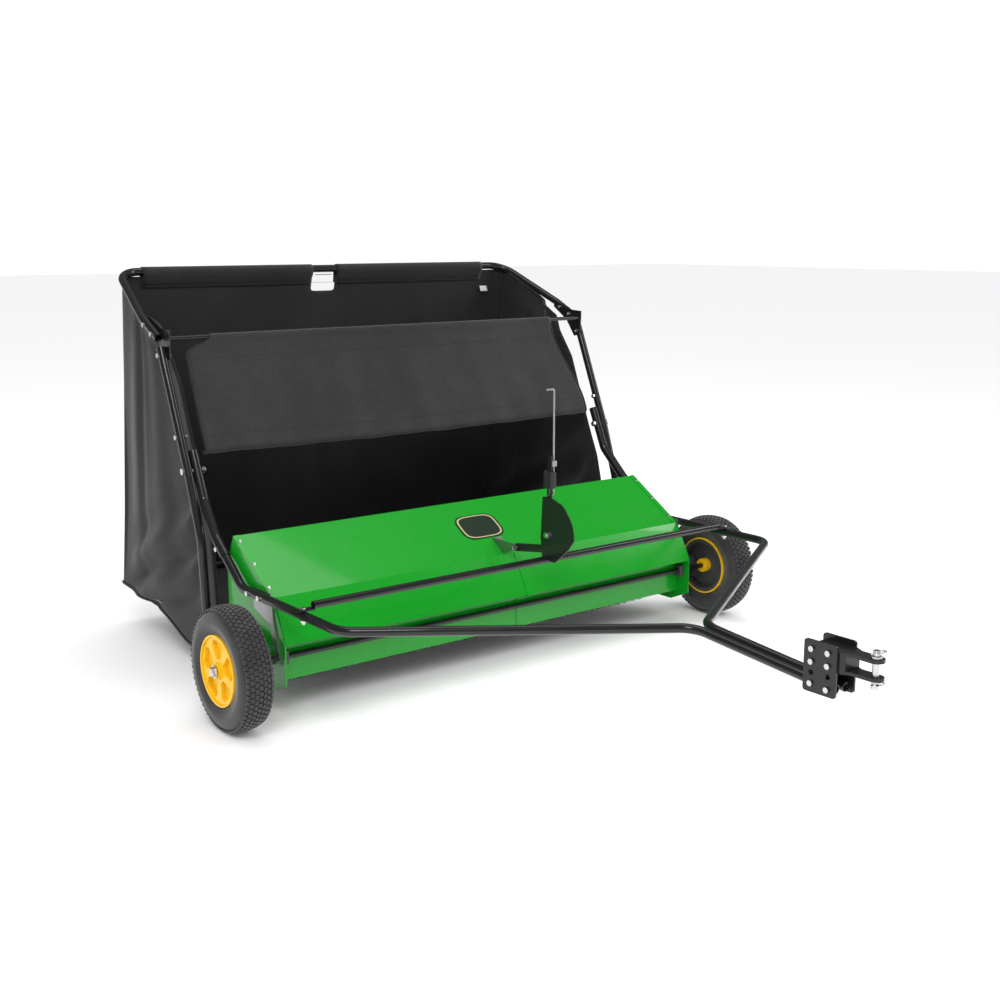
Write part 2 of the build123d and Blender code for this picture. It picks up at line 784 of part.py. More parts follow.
def rod_guide():
    """Clip near the lever's top that the release rod slides through."""
    y0 = lever_pivot[0]
    end = lever_x - body_gap - plate
    start = release_x - rod - 3
    with BuildPart() as part:
        with BuildSketch(Plane.XY.offset(lever_top_z - 24)):
            with Locations(((start + end) / 2, y0)):
                Rectangle(end - start, 10)
            with Locations((release_x, y0)):
                Circle(rod + running_gap, mode=Mode.SUBTRACT)
        extrude(amount=12)
    return part.part


def lift_link():
    """Strap from the lever's ear to the lug on the housing; its upper hole is a loose one."""
    run_y, run_z = link_foot[0] - lever_ear[0], link_foot[1] - lever_ear[1]
    length = (run_y ** 2 + run_z ** 2) ** 0.5
    with BuildPart() as part:
        with BuildSketch(Plane(origin=(link_x, *lever_ear), x_dir=(0, run_y, run_z), z_dir=(1, 0, 0))):
            with Locations((length / 2, 0)):
                SlotCenterToCenter(length, 18)
            Circle(bolt_radius + link_play, mode=Mode.SUBTRACT)
            with Locations((length, 0)):
                Circle(bolt_radius + running_gap, mode=Mode.SUBTRACT)
        extrude(amount=plate)
    return part.part


def shoulder_pin(y, z, end_x, length):
    """Headed pin along X that ends at end_x."""
    with BuildPart() as part:
        with BuildSketch(Plane.YZ.offset(end_x - length)):
            with Locations((y, z)):
                Circle(bolt_radius)
        extrude(amount=length)
        with BuildSketch(Plane.YZ.offset(end_x - length)):
            with Locations((y, z)):
                Circle(bolt_radius + 3)
        extrude(amount=-2.5)
    return part.part


def housing_lug():
    """Bent lug on the top panel's front edge that holds the lift link's lower pin."""
    x = lever_x - body_gap - plate
    y, z = link_foot
    slope = (panel_rear[1] - panel_break[1]) / (panel_rear[0] - panel_break[0])

    def above(out, lift):
        return panel_break[0] + out, panel_break[1] + out * slope + lift

    with BuildPart() as part:
        with BuildSketch(Plane.YZ.offset(x)):
            with BuildLine():
                Polyline((y - 9, z - 4), (y - 6, z + 8), (y + 6, z + 9), above(46, 3.1), above(46, 0.1),
                         above(4, 0.1), close=True)
            make_face()
            with Locations(link_foot):
                Circle(bolt_radius, mode=Mode.SUBTRACT)
        extrude(amount=plate)
        with BuildSketch(Plane.YZ.offset(x + plate)):
            with BuildLine():
                Polyline(above(8, 0.1), above(46, 0.1), above(46, 3.1), above(8, 3.1), close=True)
            make_face()
        extrude(amount=22)
    return part.part


# ---- hitch ----
def hitch_side_plate(side):
    x = side * (tongue_half + tube_radius)
    free_row = clevis_z - clevis_gap / 2 - prong - 10.5
    with BuildPart() as part:
        with BuildSketch(Plane.YZ.offset(min(x, x + side * hitch_plate))):
            with Locations((hitch_rear_y - hitch_length / 2, (hitch_top_z + hitch_bottom_z) / 2)):
                RectangleRounded(hitch_length, hitch_top_z - hitch_bottom_z, 6)
            with Locations(*clevis_bolts, *tongue_bolts):
                Circle(bolt_radius + bolt_fit, mode=Mode.SUBTRACT)
            with Locations(*[(y, free_row) for y in hitch_columns]):
                Circle(spare_hole_radius, mode=Mode.SUBTRACT)
        extrude(amount=hitch_plate)
    return part.part


def clevis():
    """Fork with two level prongs on a shank that is bolted between the hitch plates."""
    half = tongue_half + tube_radius - body_gap / 4
    height = clevis_gap + 2 * prong
    rear, shoulder = hitch_rear_y - 8, hitch_rear_y - hitch_length - 4
    neck = shoulder - 16
    narrow = clevis_width / 2
    with BuildPart() as part:
        with BuildSketch(Plane.XY.offset(clevis_z - height / 2)):
            with BuildLine():
                Polyline((-narrow, pin_y), (-narrow, neck), (-half, shoulder), (-half, rear), (half, rear),
                         (half, shoulder), (narrow, neck), (narrow, pin_y))
                ThreePointArc((narrow, pin_y), (0, pin_y - narrow), (-narrow, pin_y))
            make_face()
        extrude(amount=height)
        with BuildSketch(Plane.YZ.offset(-half)):
            with Locations((shoulder - 8 - 50, clevis_z)):
                Rectangle(100, clevis_gap)
        extrude(amount=2 * half, mode=Mode.SUBTRACT)
        with Locations((0, pin_y, clevis_z)):
            Cylinder(pin_radius + body_gap, height + 2, mode=Mode.SUBTRACT)
        with Locations(*[Location((0, *place), (0, 90, 0)) for place in clevis_bolts]):
            Cylinder(bolt_radius + bolt_fit, 4 * half, mode=Mode.SUBTRACT)
    return part.part


def hitch_bolts():
    head = tongue_half + tube_radius + hitch_plate
    return side_bolts([(-head, head, *place) for place in (*clevis_bolts, *tongue_bolts)])


def hitch_pin():
    """Headed pin with a cross hole below the fork for its hairpin."""
    high = clevis_z + clevis_gap / 2 + prong
    low = high - clevis_gap - 2 * prong - 16
    with BuildPart() as part:
        with BuildSketch(Plane.XY.offset(low)):
            with Locations((0, pin_y)):
                Circle(pin_radius)
        extrude(amount=high + 14 - low)
        with BuildSketch(Plane.XY.offset(high + body_gap / 2)):
            with Locations((0, pin_y)):
                Circle(pin_radius + 4)
        extrude(amount=4)
        for z in (hairpin_z, high + 10):
            with Locations(Location((0, pin_y, z), (0, 90, 0))):
                Cylinder(wire + running_gap, 30, mode=Mode.SUBTRACT)
    return part.part


def hairpin(z):
    """Spring clip: one leg through the pin, the other round its outside."""
    out = pin_y - pin_radius - wire - body_gap
    points = [(-13, pin_y, z), (18, pin_y, z), (18, out, z), (-9, out, z)]
    return bent_tube(points, 3, wire, 0)


# ---- hopper ----
def hopper_top_tube():
    """Rear top tube and both side rails in one bend."""
    turn = on_rail(rail_straight * (rear_top[0] - leg_knee[0]))
    points = [(-leg_half, *leg_knee), (-leg_half, *turn), (-rear_half, *rear_top),
              (rear_half, *rear_top), (leg_half, *turn), (leg_half, *leg_knee)]
    return bent_tube(points, 55, holes=[(s * leg_half, *place) for _, s in SIDES for place in rail_bolts])


def front_leg(side):
    """Upper front leg, from the knee down to its swaged end inside the lower leg."""
    x = side * leg_half
    start = (x, *on_leg(leg_knee[1] - 2.2 * tube_radius))
    down = (leg_joint[0] - leg_knee[0], leg_joint[1] - leg_knee[1])
    length = (down[0] ** 2 + down[1] ** 2) ** 0.5
    swaged = 40 / length
    end = (x, leg_joint[0] + swaged * down[0], leg_joint[1] + swaged * down[1])
    with BuildPart() as part:
        with BuildLine() as route:
            Line(start, (x, *leg_joint))
        with BuildSketch(Plane(origin=route.line @ 0, z_dir=route.line % 0)):
            Circle(tube_radius)
            Circle(tube_radius - 2 * tube_wall, mode=Mode.SUBTRACT)
        sweep()
        with BuildLine() as neck:
            Line((x, *leg_joint), end)
        with BuildSketch(Plane(origin=neck.line @ 0, z_dir=neck.line % 0)):
            Circle(tube_radius - tube_wall - running_gap)
            Circle(tube_radius - 2 * tube_wall, mode=Mode.SUBTRACT)
        sweep()
        with Locations(*[Location((x, *place), (0, 90, 0)) for place in (knee_bolt, joint_bolt)]):
            Cylinder(bolt_radius + bolt_fit, 60, mode=Mode.SUBTRACT)
    return part.part


def lower_leg(side):
    """Lower leg: joint, dump pivot, then down in front of the bag to the bottom frame."""
    x = side * leg_half
    points = [(x, *leg_joint), (x, *leg_turn), (x, *leg_low), (x, *leg_foot)]
    with BuildPart() as part:
        with BuildLine() as route:
            FilletPolyline(*points, radius=120)
        with BuildSketch(Plane(origin=route.line @ 0, z_dir=route.line % 0)):
            Circle(tube_radius)
            Circle(tube_radius - tube_wall, mode=Mode.SUBTRACT)
        sweep()
        with Locations(*[Location((x, *place), (0, 90, 0)) for place in (joint_bolt, foot_bolt)]):
            Cylinder(bolt_radius + bolt_fit, 60, mode=Mode.SUBTRACT)
        with Locations(Location((x, dump_y, dump_z), (0, 90, 0))):
            Cylinder(pivot_radius + running_gap, 60, mode=Mode.SUBTRACT)
    return part.part


def bottom_frame():
    """U tube along the bag's bottom edges, bolted to the lower legs."""
    front = (leg_foot[0] - 8, foot_bolt[1])
    points = [(-bottom_half, *front), (-bottom_half, *bottom_front), (-bottom_half, *bottom_rear),
              (bottom_half, *bottom_rear), (bottom_half, *bottom_front), (bottom_half, *front)]
    return bent_tube(points, 34, holes=[(s * bottom_half, *foot_bolt) for _, s in SIDES])


def gusset(side):
    """Plate inside the knee that joins side rail, front leg and windscreen rod."""
    near = leg_half - tube_radius - plate
    y, z = leg_knee
    with BuildPart() as part:
        with BuildSketch(Plane.YZ.offset(span(near, near + plate, side))):
            with BuildLine():
                Polyline((y - 34, z + 18), (y - 34, z + 2), (y - 30, z - 46), (y - 8, z - 50), (y + 24, z - 8),
                         (y + 78, z + 26), (y + 74, z + 44), (y + 10, z + 20), close=True)
            make_face()
            with Locations(knee_bolt, *rail_bolts):
                Circle(bolt_radius + bolt_fit, mode=Mode.SUBTRACT)
            with Locations(screen_rod):
                Circle(rod_radius + running_gap, mode=Mode.SUBTRACT)
        extrude(amount=plate)
    return part.part


def hopper_bolts():
    """Knee, rail, leg joint and foot bolts of both sides."""
    head = leg_half + tube_radius
    knee_nut = leg_half - tube_radius - plate
    joint_nut = leg_half - tube_radius
    foot_nut = bottom_half - tube_radius
    places = []
    for _, side in SIDES:
        places += [(side * head, side * knee_nut, *place) for place in (knee_bolt, *rail_bolts)]
        places.append((side * head, side * joint_nut, *joint_bolt))
        places.append((side * head, side * foot_nut, *foot_bolt))
    return side_bolts(places)


def foot_spacers():
    """Tubes between the lower legs and the bottom frame on the foot bolts."""
    with BuildPart() as part:
        near, far = bottom_half + tube_radius, leg_half - tube_radius
        for _, side in SIDES:
            with BuildSketch(Plane.YZ.offset(span(near, far, side))):
                with Locations(foot_bolt):
                    Circle(bolt_radius + 3)
                    Circle(bolt_radius + bolt_fit, mode=Mode.SUBTRACT)
            extrude(amount=far - near)
    return part.part


def dump_pivots():
    """Shouldered pivot bolts through the arms and the lower legs."""
    sleeve = tube_radius + running_gap + tube_wall
    places = [(s * (leg_half + tube_radius + body_gap), s * (arm_half - sleeve), dump_y, dump_z) for _, s in SIDES]
    return side_bolts(places, pivot_radius)


def bag_outline(inset):
    """Side view of the bag, moved inwards by inset; the front edge stays behind the legs."""
    rear_y, rear_z = rear_top
    clear = tube_radius + body_gap + inset
    return [
        (rear_y + 0.5, rear_z - clear),
        (bottom_rear[0] + clear + 6, bottom_rear[1] + 12),
        (bottom_rear[0] + clear, bottom_rear[1] - clear),
        (bottom_front[0] + 6, bottom_front[1] - clear),
        (leg_foot[0] + 22, foot_bolt[1] + 30),
        (leg_low[0] + 22, leg_low[1]),
        (leg_turn[0] + 32, leg_turn[1]),
        (leg_joint[0] + 22, leg_joint[1] - 4),
        (leg_knee[0] + 26, leg_knee[1] - 40),
        (leg_knee[0] + 44, leg_knee[1] + 2),
    ]


def hopper_bag():
    """Cloth bag: rear, bottom and two side walls, open on top and in front."""
    inner = bag_half - bag_wall
    far = 400.0
    slope = (bottom_rear[1] - bottom_front[1]) / (bottom_rear[0] - bottom_front[0])
    rear_y, rear_z = rear_top
    clear = tube_radius + body_gap
    with BuildPart() as part:
        with BuildSketch(Plane.YZ.offset(-bag_half)):
            with BuildLine():
                Polyline(*bag_outline(bag_wall), close=True)
            make_face()
        extrude(amount=2 * bag_half)
        with BuildSketch(Plane.YZ.offset(-inner)):
            with BuildLine():
                Polyline((rear_y - 2.6, rear_z + far), (rear_y - 2.6, rear_z - clear - bag_wall),
                         (bottom_rear[0] + clear + 6, bottom_rear[1] + 12), (bottom_rear[0] + clear, bottom_rear[1] - clear),
                         (bottom_front[0] - 60, bottom_front[1] - clear - 60 * slope), (leg_low[0] - far, leg_low[1]),
                         (leg_low[0] - far, rear_z + far), close=True)
            make_face()
        extrude(amount=2 * inner, mode=Mode.SUBTRACT)
        with BuildSketch(Plane.XZ.offset(-rear_y - 30)):
            with Locations((0, rear_z - clear - 30)):
                RectangleRounded(hand_hole, 38, 10)
        extrude(amount=60, mode=Mode.SUBTRACT)
    return part.part


def windscreen_rod():
    half = leg_half - tube_radius - 0.5
    return disc(-half, *screen_rod, rod_radius, 2 * half)


def windscreen():
    """Mesh sheet from the rod down between the front legs."""
    top_y, top_z = screen_rod[0], screen_rod[1] - rod_radius - body_gap
    low_y, low_z = screen_low
    with BuildPart() as part:
        with BuildSketch(Plane.YZ.offset(-screen_half)):
            with BuildLine():
                Polyline((top_y, top_z), (low_y, low_z), (low_y + screen_wall, low_z), (top_y + screen_wall, top_z),
                         close=True)
            make_face()
        extrude(amount=2 * screen_half)
    return part.part


def name_plate():
    """Blank badge on the top panel."""
    slope = (panel_rear[1] - panel_break[1]) / (panel_rear[0] - panel_break[0])
    out = 85                      # from the panel's bend to the badge's middle, level
    middle = (panel_break[0] + out, panel_break[1] + out * slope)
    tilt = Plane(origin=(badge_x, *middle), x_dir=(1, 0, 0), z_dir=(0, -slope, 1))
    with BuildPart() as part:
        with BuildSketch(tilt):
            RectangleRounded(badge_width, badge_length, badge_length / 3)
        extrude(amount=1.2)
    return part.part


def panel_screws():
    """Domed screws along the top panel's ends."""
    slope = (panel_rear[1] - panel_break[1]) / (panel_rear[0] - panel_break[0])
    with BuildPart() as part:
        for side in (-1, 1):
            for out in (24, 84, 144):
                place = (side * (housing_half - 7), panel_break[0] + out, panel_break[1] + out * slope)
                with BuildSketch(Plane(origin=place, z_dir=(0, -slope, 1)).offset(1.2)):
                    Circle(4.5)
                extrude(amount=2.4, taper=30)
    return part.part


# ---- build every piece ----
os.makedirs("parts", exist_ok=True)

save(group(top_panel(), rear_lip()), "top_panel")
save(seam_strap(), "seam_strap")
save(name_plate(), "name_plate")
save(panel_screws(), "panel_screws")
save(axle_rod(), "axle_rod")
save(group(axle_blocks(), shaft_bushes(pinion_y, wheel_radius, pinion_shaft_radius),
           shaft_bushes(brush_y, brush_z, brush_shaft_radius)), "shaft_bearings")
save(group(brush_shaft(), brush_pulleys()), "brush_shaft")
save(brush_spiders(), "brush_spiders")
save(brush_bars(), "brush_bars")
save(bristle_strips(), "bristle_strips")
save(cross_tube(), "cross_tube")
save(group(cross_bolts(), bracket_bolts(), lever_pivot_bolt()), "draw_frame_bolts")
save(lever_sector(), "lever_sector")
link_pin = 2 * plate + 1.5 * body_gap
lug = group(shoulder_pin(*link_foot, lever_x - body_gap, link_pin), housing_lug())
# these are drawn left of the sector and stand to its right, mirrored in its middle plane
for made, node in ((lever_arm(), "lever_arm"), (lever_grip(), "lever_grip"), (release_rod(), "release_rod"),
                   (rod_guide(), "release_rod_guide"), (lift_link(), "lift_link"), (lug, "housing_lug"),
                   (shoulder_pin(*lever_ear, lever_x - body_gap, link_pin), "link_top_pin")):
    save(made.mirror(sector_middle), node)
save(clevis(), "clevis")
save(hitch_bolts(), "hitch_bolts")
save(hitch_pin(), "hitch_pin")
save(hairpin(hairpin_z), "hairpin_lower")
save(hairpin(clevis_z + clevis_gap / 2 + prong + 10), "hairpin_upper")
save(hopper_top_tube(), "hopper_top_tube")
save(bottom_frame(), "bottom_frame")
save(hopper_bolts(), "hopper_bolts")
save(foot_spacers(), "foot_spacers")
save(dump_pivots(), "dump_pivot_bolts")
save(hopper_bag(), "hopper_bag")
save(windscreen_rod(), "windscreen_rod")
save(windscreen(), "windscreen")
save(group(*[hitch_side_plate(sign) for _, sign in SIDES]), "hitch_plates")
save(group(*[gusset(sign) for _, sign in SIDES]), "knee_gussets")
save(group(*[hub_nut(sign) for _, sign in SIDES]), "hub_nuts")
save(group(*[drive_belt(sign) for _, sign in SIDES]), "drive_belts")
save(group(*[gear_case(sign) for _, sign in SIDES]), "gear_cases")

for word, sign in SIDES:
    save(side_plate(sign), f"side_plate_{word}")
    save(front_shell(sign), f"front_shell_{word}")
    save(tyre(sign), f"tyre_{word}")
    save(wheel_disc(sign), f"wheel_{word}")
    save(ring_gear(sign), f"ring_gear_{word}")
    save(pinion(sign), f"pinion_{word}")
    save(axle_bracket(sign), f"axle_bracket_{word}")
    save(draw_tube(sign), f"draw_tube_{word}")
    save(hopper_arm(sign), f"hopper_arm_{word}")
    save(front_leg(sign), f"front_leg_{word}")
    save(lower_leg(sign), f"lower_leg_{word}")
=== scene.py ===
# %% [markdown]
# # A tow-behind lawn sweeper
# The steel frame, housing, wheels and hitch come in as fixed parts. This lesson gives them their
# finishes and makes what a machinist's model can't: tyres with tread, a brush of filaments, a sewn
# cloth hopper and a mesh screen. Sizes are in metres. X runs across the machine, -Y is the hitch
# end, Z is up, and the origin is on the ground under the axle.

import math

import bmesh
import bpy
import numpy as np
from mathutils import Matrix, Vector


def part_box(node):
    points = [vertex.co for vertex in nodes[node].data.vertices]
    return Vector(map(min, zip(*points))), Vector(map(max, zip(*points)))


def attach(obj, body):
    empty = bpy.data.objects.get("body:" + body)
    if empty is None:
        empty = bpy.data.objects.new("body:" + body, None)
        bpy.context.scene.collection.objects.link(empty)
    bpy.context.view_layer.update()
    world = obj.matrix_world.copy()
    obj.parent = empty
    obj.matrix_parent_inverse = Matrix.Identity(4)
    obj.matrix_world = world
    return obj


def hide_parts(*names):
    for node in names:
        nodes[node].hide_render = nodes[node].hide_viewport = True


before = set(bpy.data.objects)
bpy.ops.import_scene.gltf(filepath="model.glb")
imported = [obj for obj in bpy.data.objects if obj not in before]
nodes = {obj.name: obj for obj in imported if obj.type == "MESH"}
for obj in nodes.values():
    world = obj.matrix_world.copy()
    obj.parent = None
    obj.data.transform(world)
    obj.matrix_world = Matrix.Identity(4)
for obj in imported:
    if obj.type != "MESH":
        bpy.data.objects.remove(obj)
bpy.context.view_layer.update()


# %% [markdown]
# ## Arithmetic on sockets
# Shader and geometry trees both do sums with Math nodes. Wrapping a socket in a small class lets
# a tree be written as a formula, which is far easier to read and change than a list of links.

# %% A socket that can be used in sums
class Wire:
    """One output socket of a node tree; +, -, *, / and ** on it add Math nodes."""

    def __init__(self, tree, socket):
        self.tree, self.socket = tree, socket

    def math(self, operation, *others):
        node = self.tree.nodes.new("ShaderNodeMath")
        node.operation = operation
        for slot, value in zip(node.inputs, (self, *others)):
            plug(self.tree, slot, value)
        return Wire(self.tree, node.outputs[0])

    def flipped(self, operation, other):
        """The same sum with the plain value in front."""
        node = self.tree.nodes.new("ShaderNodeMath")
        node.operation = operation
        plug(self.tree, node.inputs[0], other)
        plug(self.tree, node.inputs[1], self)
        return Wire(self.tree, node.outputs[0])

    def __add__(self, other): return self.math("ADD", other)
    def __radd__(self, other): return self.flipped("ADD", other)
    def __sub__(self, other): return self.math("SUBTRACT", other)
    def __rsub__(self, other): return self.flipped("SUBTRACT", other)
    def __mul__(self, other): return self.math("MULTIPLY", other)
    def __truediv__(self, other): return self.math("DIVIDE", other)
    def __pow__(self, other): return self.math("POWER", other)
    def __neg__(self): return self.math("MULTIPLY", -1.0)


def plug(tree, slot, value):
    """Sets a socket to a plain value, or links it to a wire."""
    if isinstance(value, Wire):
        tree.links.new(value.socket, slot)
    else:
        slot.default_value = value


# %% A finish and its nodes
class Finish:
    """A material whose surface is one Principled shader; add() makes any other node."""

    def __init__(self, name, colour, roughness, **settings):
        self.material = bpy.data.materials.new(name)
        self.material.use_nodes = True
        self.tree = self.material.node_tree
        self.shader = self.tree.nodes["Principled BSDF"]
        self.set("Base Color", (*colour, 1.0))
        self.set("Roughness", roughness)
        for label, value in settings.items():
            self.set(label.replace("_", " "), value)

    def set(self, label, value):
        plug(self.tree, self.shader.inputs[label], value)

    def add(self, kind, output=0, inputs=None, **settings):
        node = self.tree.nodes.new(kind)
        for label, value in settings.items():
            setattr(node, label, value)
        for label, value in (inputs or {}).items():
            plug(self.tree, node.inputs[label], value)
        return Wire(self.tree, node.outputs[output])

    def where(self):
        """X, Y and Z of the piece's own coordinates, in metres."""
        place = self.add("ShaderNodeTexCoord", "Object")
        split = self.tree.nodes.new("ShaderNodeSeparateXYZ")
        self.tree.links.new(place.socket, split.inputs[0])
        return place, [Wire(self.tree, out) for out in split.outputs]

    def noise(self, scale, detail=3.0, place=None):
        place = place or self.add("ShaderNodeTexCoord", "Object")
        return self.add("ShaderNodeTexNoise", "Fac", {"Vector": place, "Scale": scale, "Detail": detail})

    def blend(self, share, first, second):
        """A colour between two others."""
        node = self.tree.nodes.new("ShaderNodeMix")
        node.data_type = "RGBA"
        plug(self.tree, node.inputs[0], share)
        for slot, value in zip((node.inputs[6], node.inputs[7]), (first, second)):
            plug(self.tree, slot, value if isinstance(value, Wire) else (*value, 1.0))
        return Wire(self.tree, node.outputs[2])

    def bump(self, height, depth, strength=0.6, under=None):
        """Relief of a real depth in metres; under is an earlier bump that this one lies on."""
        inputs = {"Height": height, "Distance": depth, "Strength": strength}
        if under:
            inputs["Normal"] = under
        relief = self.add("ShaderNodeBump", 0, inputs)
        self.set("Normal", relief)
        return relief


def ramp(finish, value, low, high):
    """0 below low, 1 above high."""
    return finish.add("ShaderNodeMapRange", 0, {"Value": value, "From Min": low, "From Max": high})


# %% [markdown]
# ## Painted and plated metal
# The housing is sheet steel in thick gloss enamel: a coat layer gives its sharp highlights, a very
# slow noise in the relief gives the slight wobble of rolled sheet, and a fine one the orange peel
# of sprayed paint. The tubes have a thinner black coat. Zinc plate is a bright metal whose
# crystals and handling marks show as patches of roughness.

# %% Enamel and paint
def enamel(name, colour, roughness, coat, wobble):
    """Gloss paint over sheet or tube; wobble is how deep its slow waves are, in metres."""
    paint = Finish(name, colour, roughness, Coat_Weight=coat, Coat_Roughness=0.05, Specular_IOR_Level=0.3)
    dust = ramp(paint, paint.noise(9.0, 5.0), 0.45, 0.8)
    paint.set("Base Color", paint.blend(dust * 0.22, colour, tuple(c * 0.8 + 0.005 for c in colour)))
    paint.set("Roughness", roughness + dust * 0.12)
    sheet = paint.bump(paint.noise(5.0, 1.0), wobble, 0.5)
    paint.bump(paint.noise(900.0, 1.0), 0.00004, 0.35, under=sheet)
    return paint.material


housing_green = enamel("housing enamel", (0.0003, 0.275, 0.009), 0.26, 0.45, 0.004)
case_green = enamel("belt case enamel", (0.004, 0.15, 0.016), 0.35, 0.5, 0.001)
tube_black = enamel("black tube paint", (0.0085, 0.0085, 0.009), 0.3, 0.45, 0.0)
plate_black = enamel("black plate paint", (0.011, 0.011, 0.012), 0.36, 0.3, 0.0005)


# %% Zinc plate
def zinc(name, colour, roughness, scale):
    """Plated steel with crystals of the given scale."""
    plated = Finish(name, colour, roughness, Metallic=1.0)
    crystals = plated.add("ShaderNodeTexVoronoi", "Distance",
                          {"Vector": plated.add("ShaderNodeTexCoord", "Object"), "Scale": scale})
    stain = plated.noise(35.0, 4.0)
    plated.set("Base Color", plated.blend(stain * 0.5, colour, tuple(c * 0.62 for c in colour)))
    plated.set("Roughness", roughness + crystals * 0.12 + stain * 0.1)
    plated.bump(crystals, 0.00005, 0.3)
    return plated.material


bright_zinc = zinc("bright zinc", (0.72, 0.72, 0.71), 0.18, 400.0)
dull_zinc = zinc("dull zinc", (0.47, 0.48, 0.47), 0.34, 160.0)
print("metal finishes:", [m.name for m in (housing_green, case_green, tube_black, plate_black,
                                           bright_zinc, dull_zinc)])


# %% [markdown]
# ## Plastics, rubber and belts
# The wheels are moulded in yellow plastic: almost smooth, slightly soft inside, with scuffs. Tyre
# rubber is dark with a dusty bloom in random patches, so its colour and roughness
# come from the same noise.

# %% Moulded wheel and plain plastics
def moulded(name, colour, roughness, scuff, grain):
    """Plastic from a mould: scuff is how far worn marks darken it."""
    plastic = Finish(name, colour, roughness, Specular_IOR_Level=0.5)
    marks = ramp(plastic, plastic.noise(60.0, 6.0), 0.52, 0.75)
    plastic.set("Base Color", plastic.blend(marks * scuff, colour, tuple(c * 0.55 for c in colour)))
    plastic.set("Roughness", roughness + marks * 0.2)
    plastic.bump(plastic.noise(grain, 2.0), 0.0001, 0.3)
    return plastic.material


wheel_yellow = moulded("wheel yellow", (0.86, 0.50, 0.008), 0.3, 0.35, 500.0)
dark_plastic = moulded("dark plastic", (0.018, 0.018, 0.02), 0.5, 0.4, 900.0)
gear_plastic = moulded("gear nylon", (0.05, 0.05, 0.052), 0.45, 0.3, 700.0)


# %% Tyre rubber and belt rubber
def rubber(name, colour, dusty):
    """Matt rubber under a bloom of dust."""
    made = Finish(name, colour, 0.72, Sheen_Weight=0.25)
    bloom = ramp(made, made.noise(28.0, 6.0), 0.42, 0.78)
    made.set("Base Color", made.blend(bloom * dusty, colour, (0.055, 0.053, 0.05)))
    made.set("Roughness", 0.62 + bloom * 0.22)
    made.bump(made.noise(1400.0, 2.0), 0.0001, 0.4)
    return made.material


tyre_rubber = rubber("tyre rubber", (0.016, 0.016, 0.017), 0.55)
belt_rubber = rubber("belt rubber", (0.012, 0.012, 0.012), 0.25)


# %% [markdown]
# ## Cloth and mesh
# The hopper is coated woven polyester, the screen an open plastic mesh. Both are a weave: two sets
# of threads crossing. Sines of the piece's own coordinates give the threads, so no picture is
# needed, and each thread's height drives the relief while a slow noise gives the faded patches.

# %% A woven finish
def woven(name, colour, worn, thread, depth, sheen):
    """Two crossing sets of threads; thread is their pitch and depth their relief, in metres."""
    cloth = Finish(name, colour, 0.8, Sheen_Weight=sheen, Sheen_Roughness=0.4)
    place, (x, y, z) = cloth.where()
    count = 2 * math.pi / thread
    across = ((x + y * 0.6) * count).math("SINE")
    along = ((z + y * 0.35) * count).math("SINE")
    threads = (across * along) * 0.5 + 0.5
    slubs = cloth.noise(1.0 / (thread * 3.0), 2.0, place)
    patches = ramp(cloth, cloth.noise(6.0, 4.0, place), 0.35, 0.75)
    light = threads * 0.55 + slubs * 0.45
    cloth.set("Base Color", cloth.blend(light * (patches * 0.5 + 0.5), colour, worn))
    cloth.set("Roughness", 0.72 + threads * 0.16)
    creases = cloth.bump(cloth.noise(7.0, 5.0, place), 0.006, 0.35)
    cloth.bump(threads, depth, 0.5, under=creases)
    return cloth.material


bag_cloth = woven("hopper cloth", (0.0065, 0.0065, 0.007), (0.028, 0.028, 0.029), 0.0032, 0.0006, 0.2)
bag_hem = woven("hopper binding", (0.005, 0.005, 0.005), (0.016, 0.016, 0.016), 0.0016, 0.0003, 0.2)
screen_mesh = woven("screen mesh", (0.006, 0.006, 0.0065), (0.042, 0.042, 0.042), 0.0042, 0.0009, 0.2)
thread_grey = moulded("stitching", (0.045, 0.045, 0.046), 0.7, 0.2, 900.0)
tag_white = woven("care tag", (0.55, 0.55, 0.53), (0.7, 0.7, 0.68), 0.0012, 0.0001, 0.1)
print("soft finishes:", [m.name for m in (bag_cloth, bag_hem, screen_mesh, thread_grey, tag_white)])


# %% [markdown]
# ## Brush filament and badge
# Filaments are glossy black plastic with brownish worn patches at random. The badge is blank: a
# dark plate with a thin pale line inside its edge.

# %% Filament and badge finishes
def filament():
    made = Finish("brush filament", (0.012, 0.012, 0.012), 0.42, Specular_IOR_Level=0.5)
    made.set("Base Color", made.blend(made.noise(50.0, 2.0), (0.008, 0.008, 0.008), (0.03, 0.027, 0.022)))
    return made.material


def badge(low, high):
    """Blank plate whose pale line follows a rounded rectangle between its two corners."""
    plate = Finish("blank badge", (0.01, 0.01, 0.01), 0.3, Coat_Weight=0.4)
    _, (x, y, _) = plate.where()
    middle = [(a + b) / 2 for a, b in zip(low, high)]
    reach = [(b - a) / 2 for a, b in zip(low, high)]
    out_x = ((x - middle[0]) / reach[0]).math("ABSOLUTE")
    out_y = ((y - middle[1]) / reach[1]).math("ABSOLUTE")
    edge = (out_x ** 4.0 + out_y ** 4.0) ** 0.25
    line = ramp(plate, edge, 0.84, 0.86) * (1.0 - ramp(plate, edge, 0.91, 0.93))
    plate.set("Base Color", plate.blend(line, (0.006, 0.02, 0.008), (0.45, 0.42, 0.2)))
    plate.set("Roughness", 0.32 + line * 0.1)
    return plate.material


brush_black = filament()
badge_dark = badge(*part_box("name_plate"))


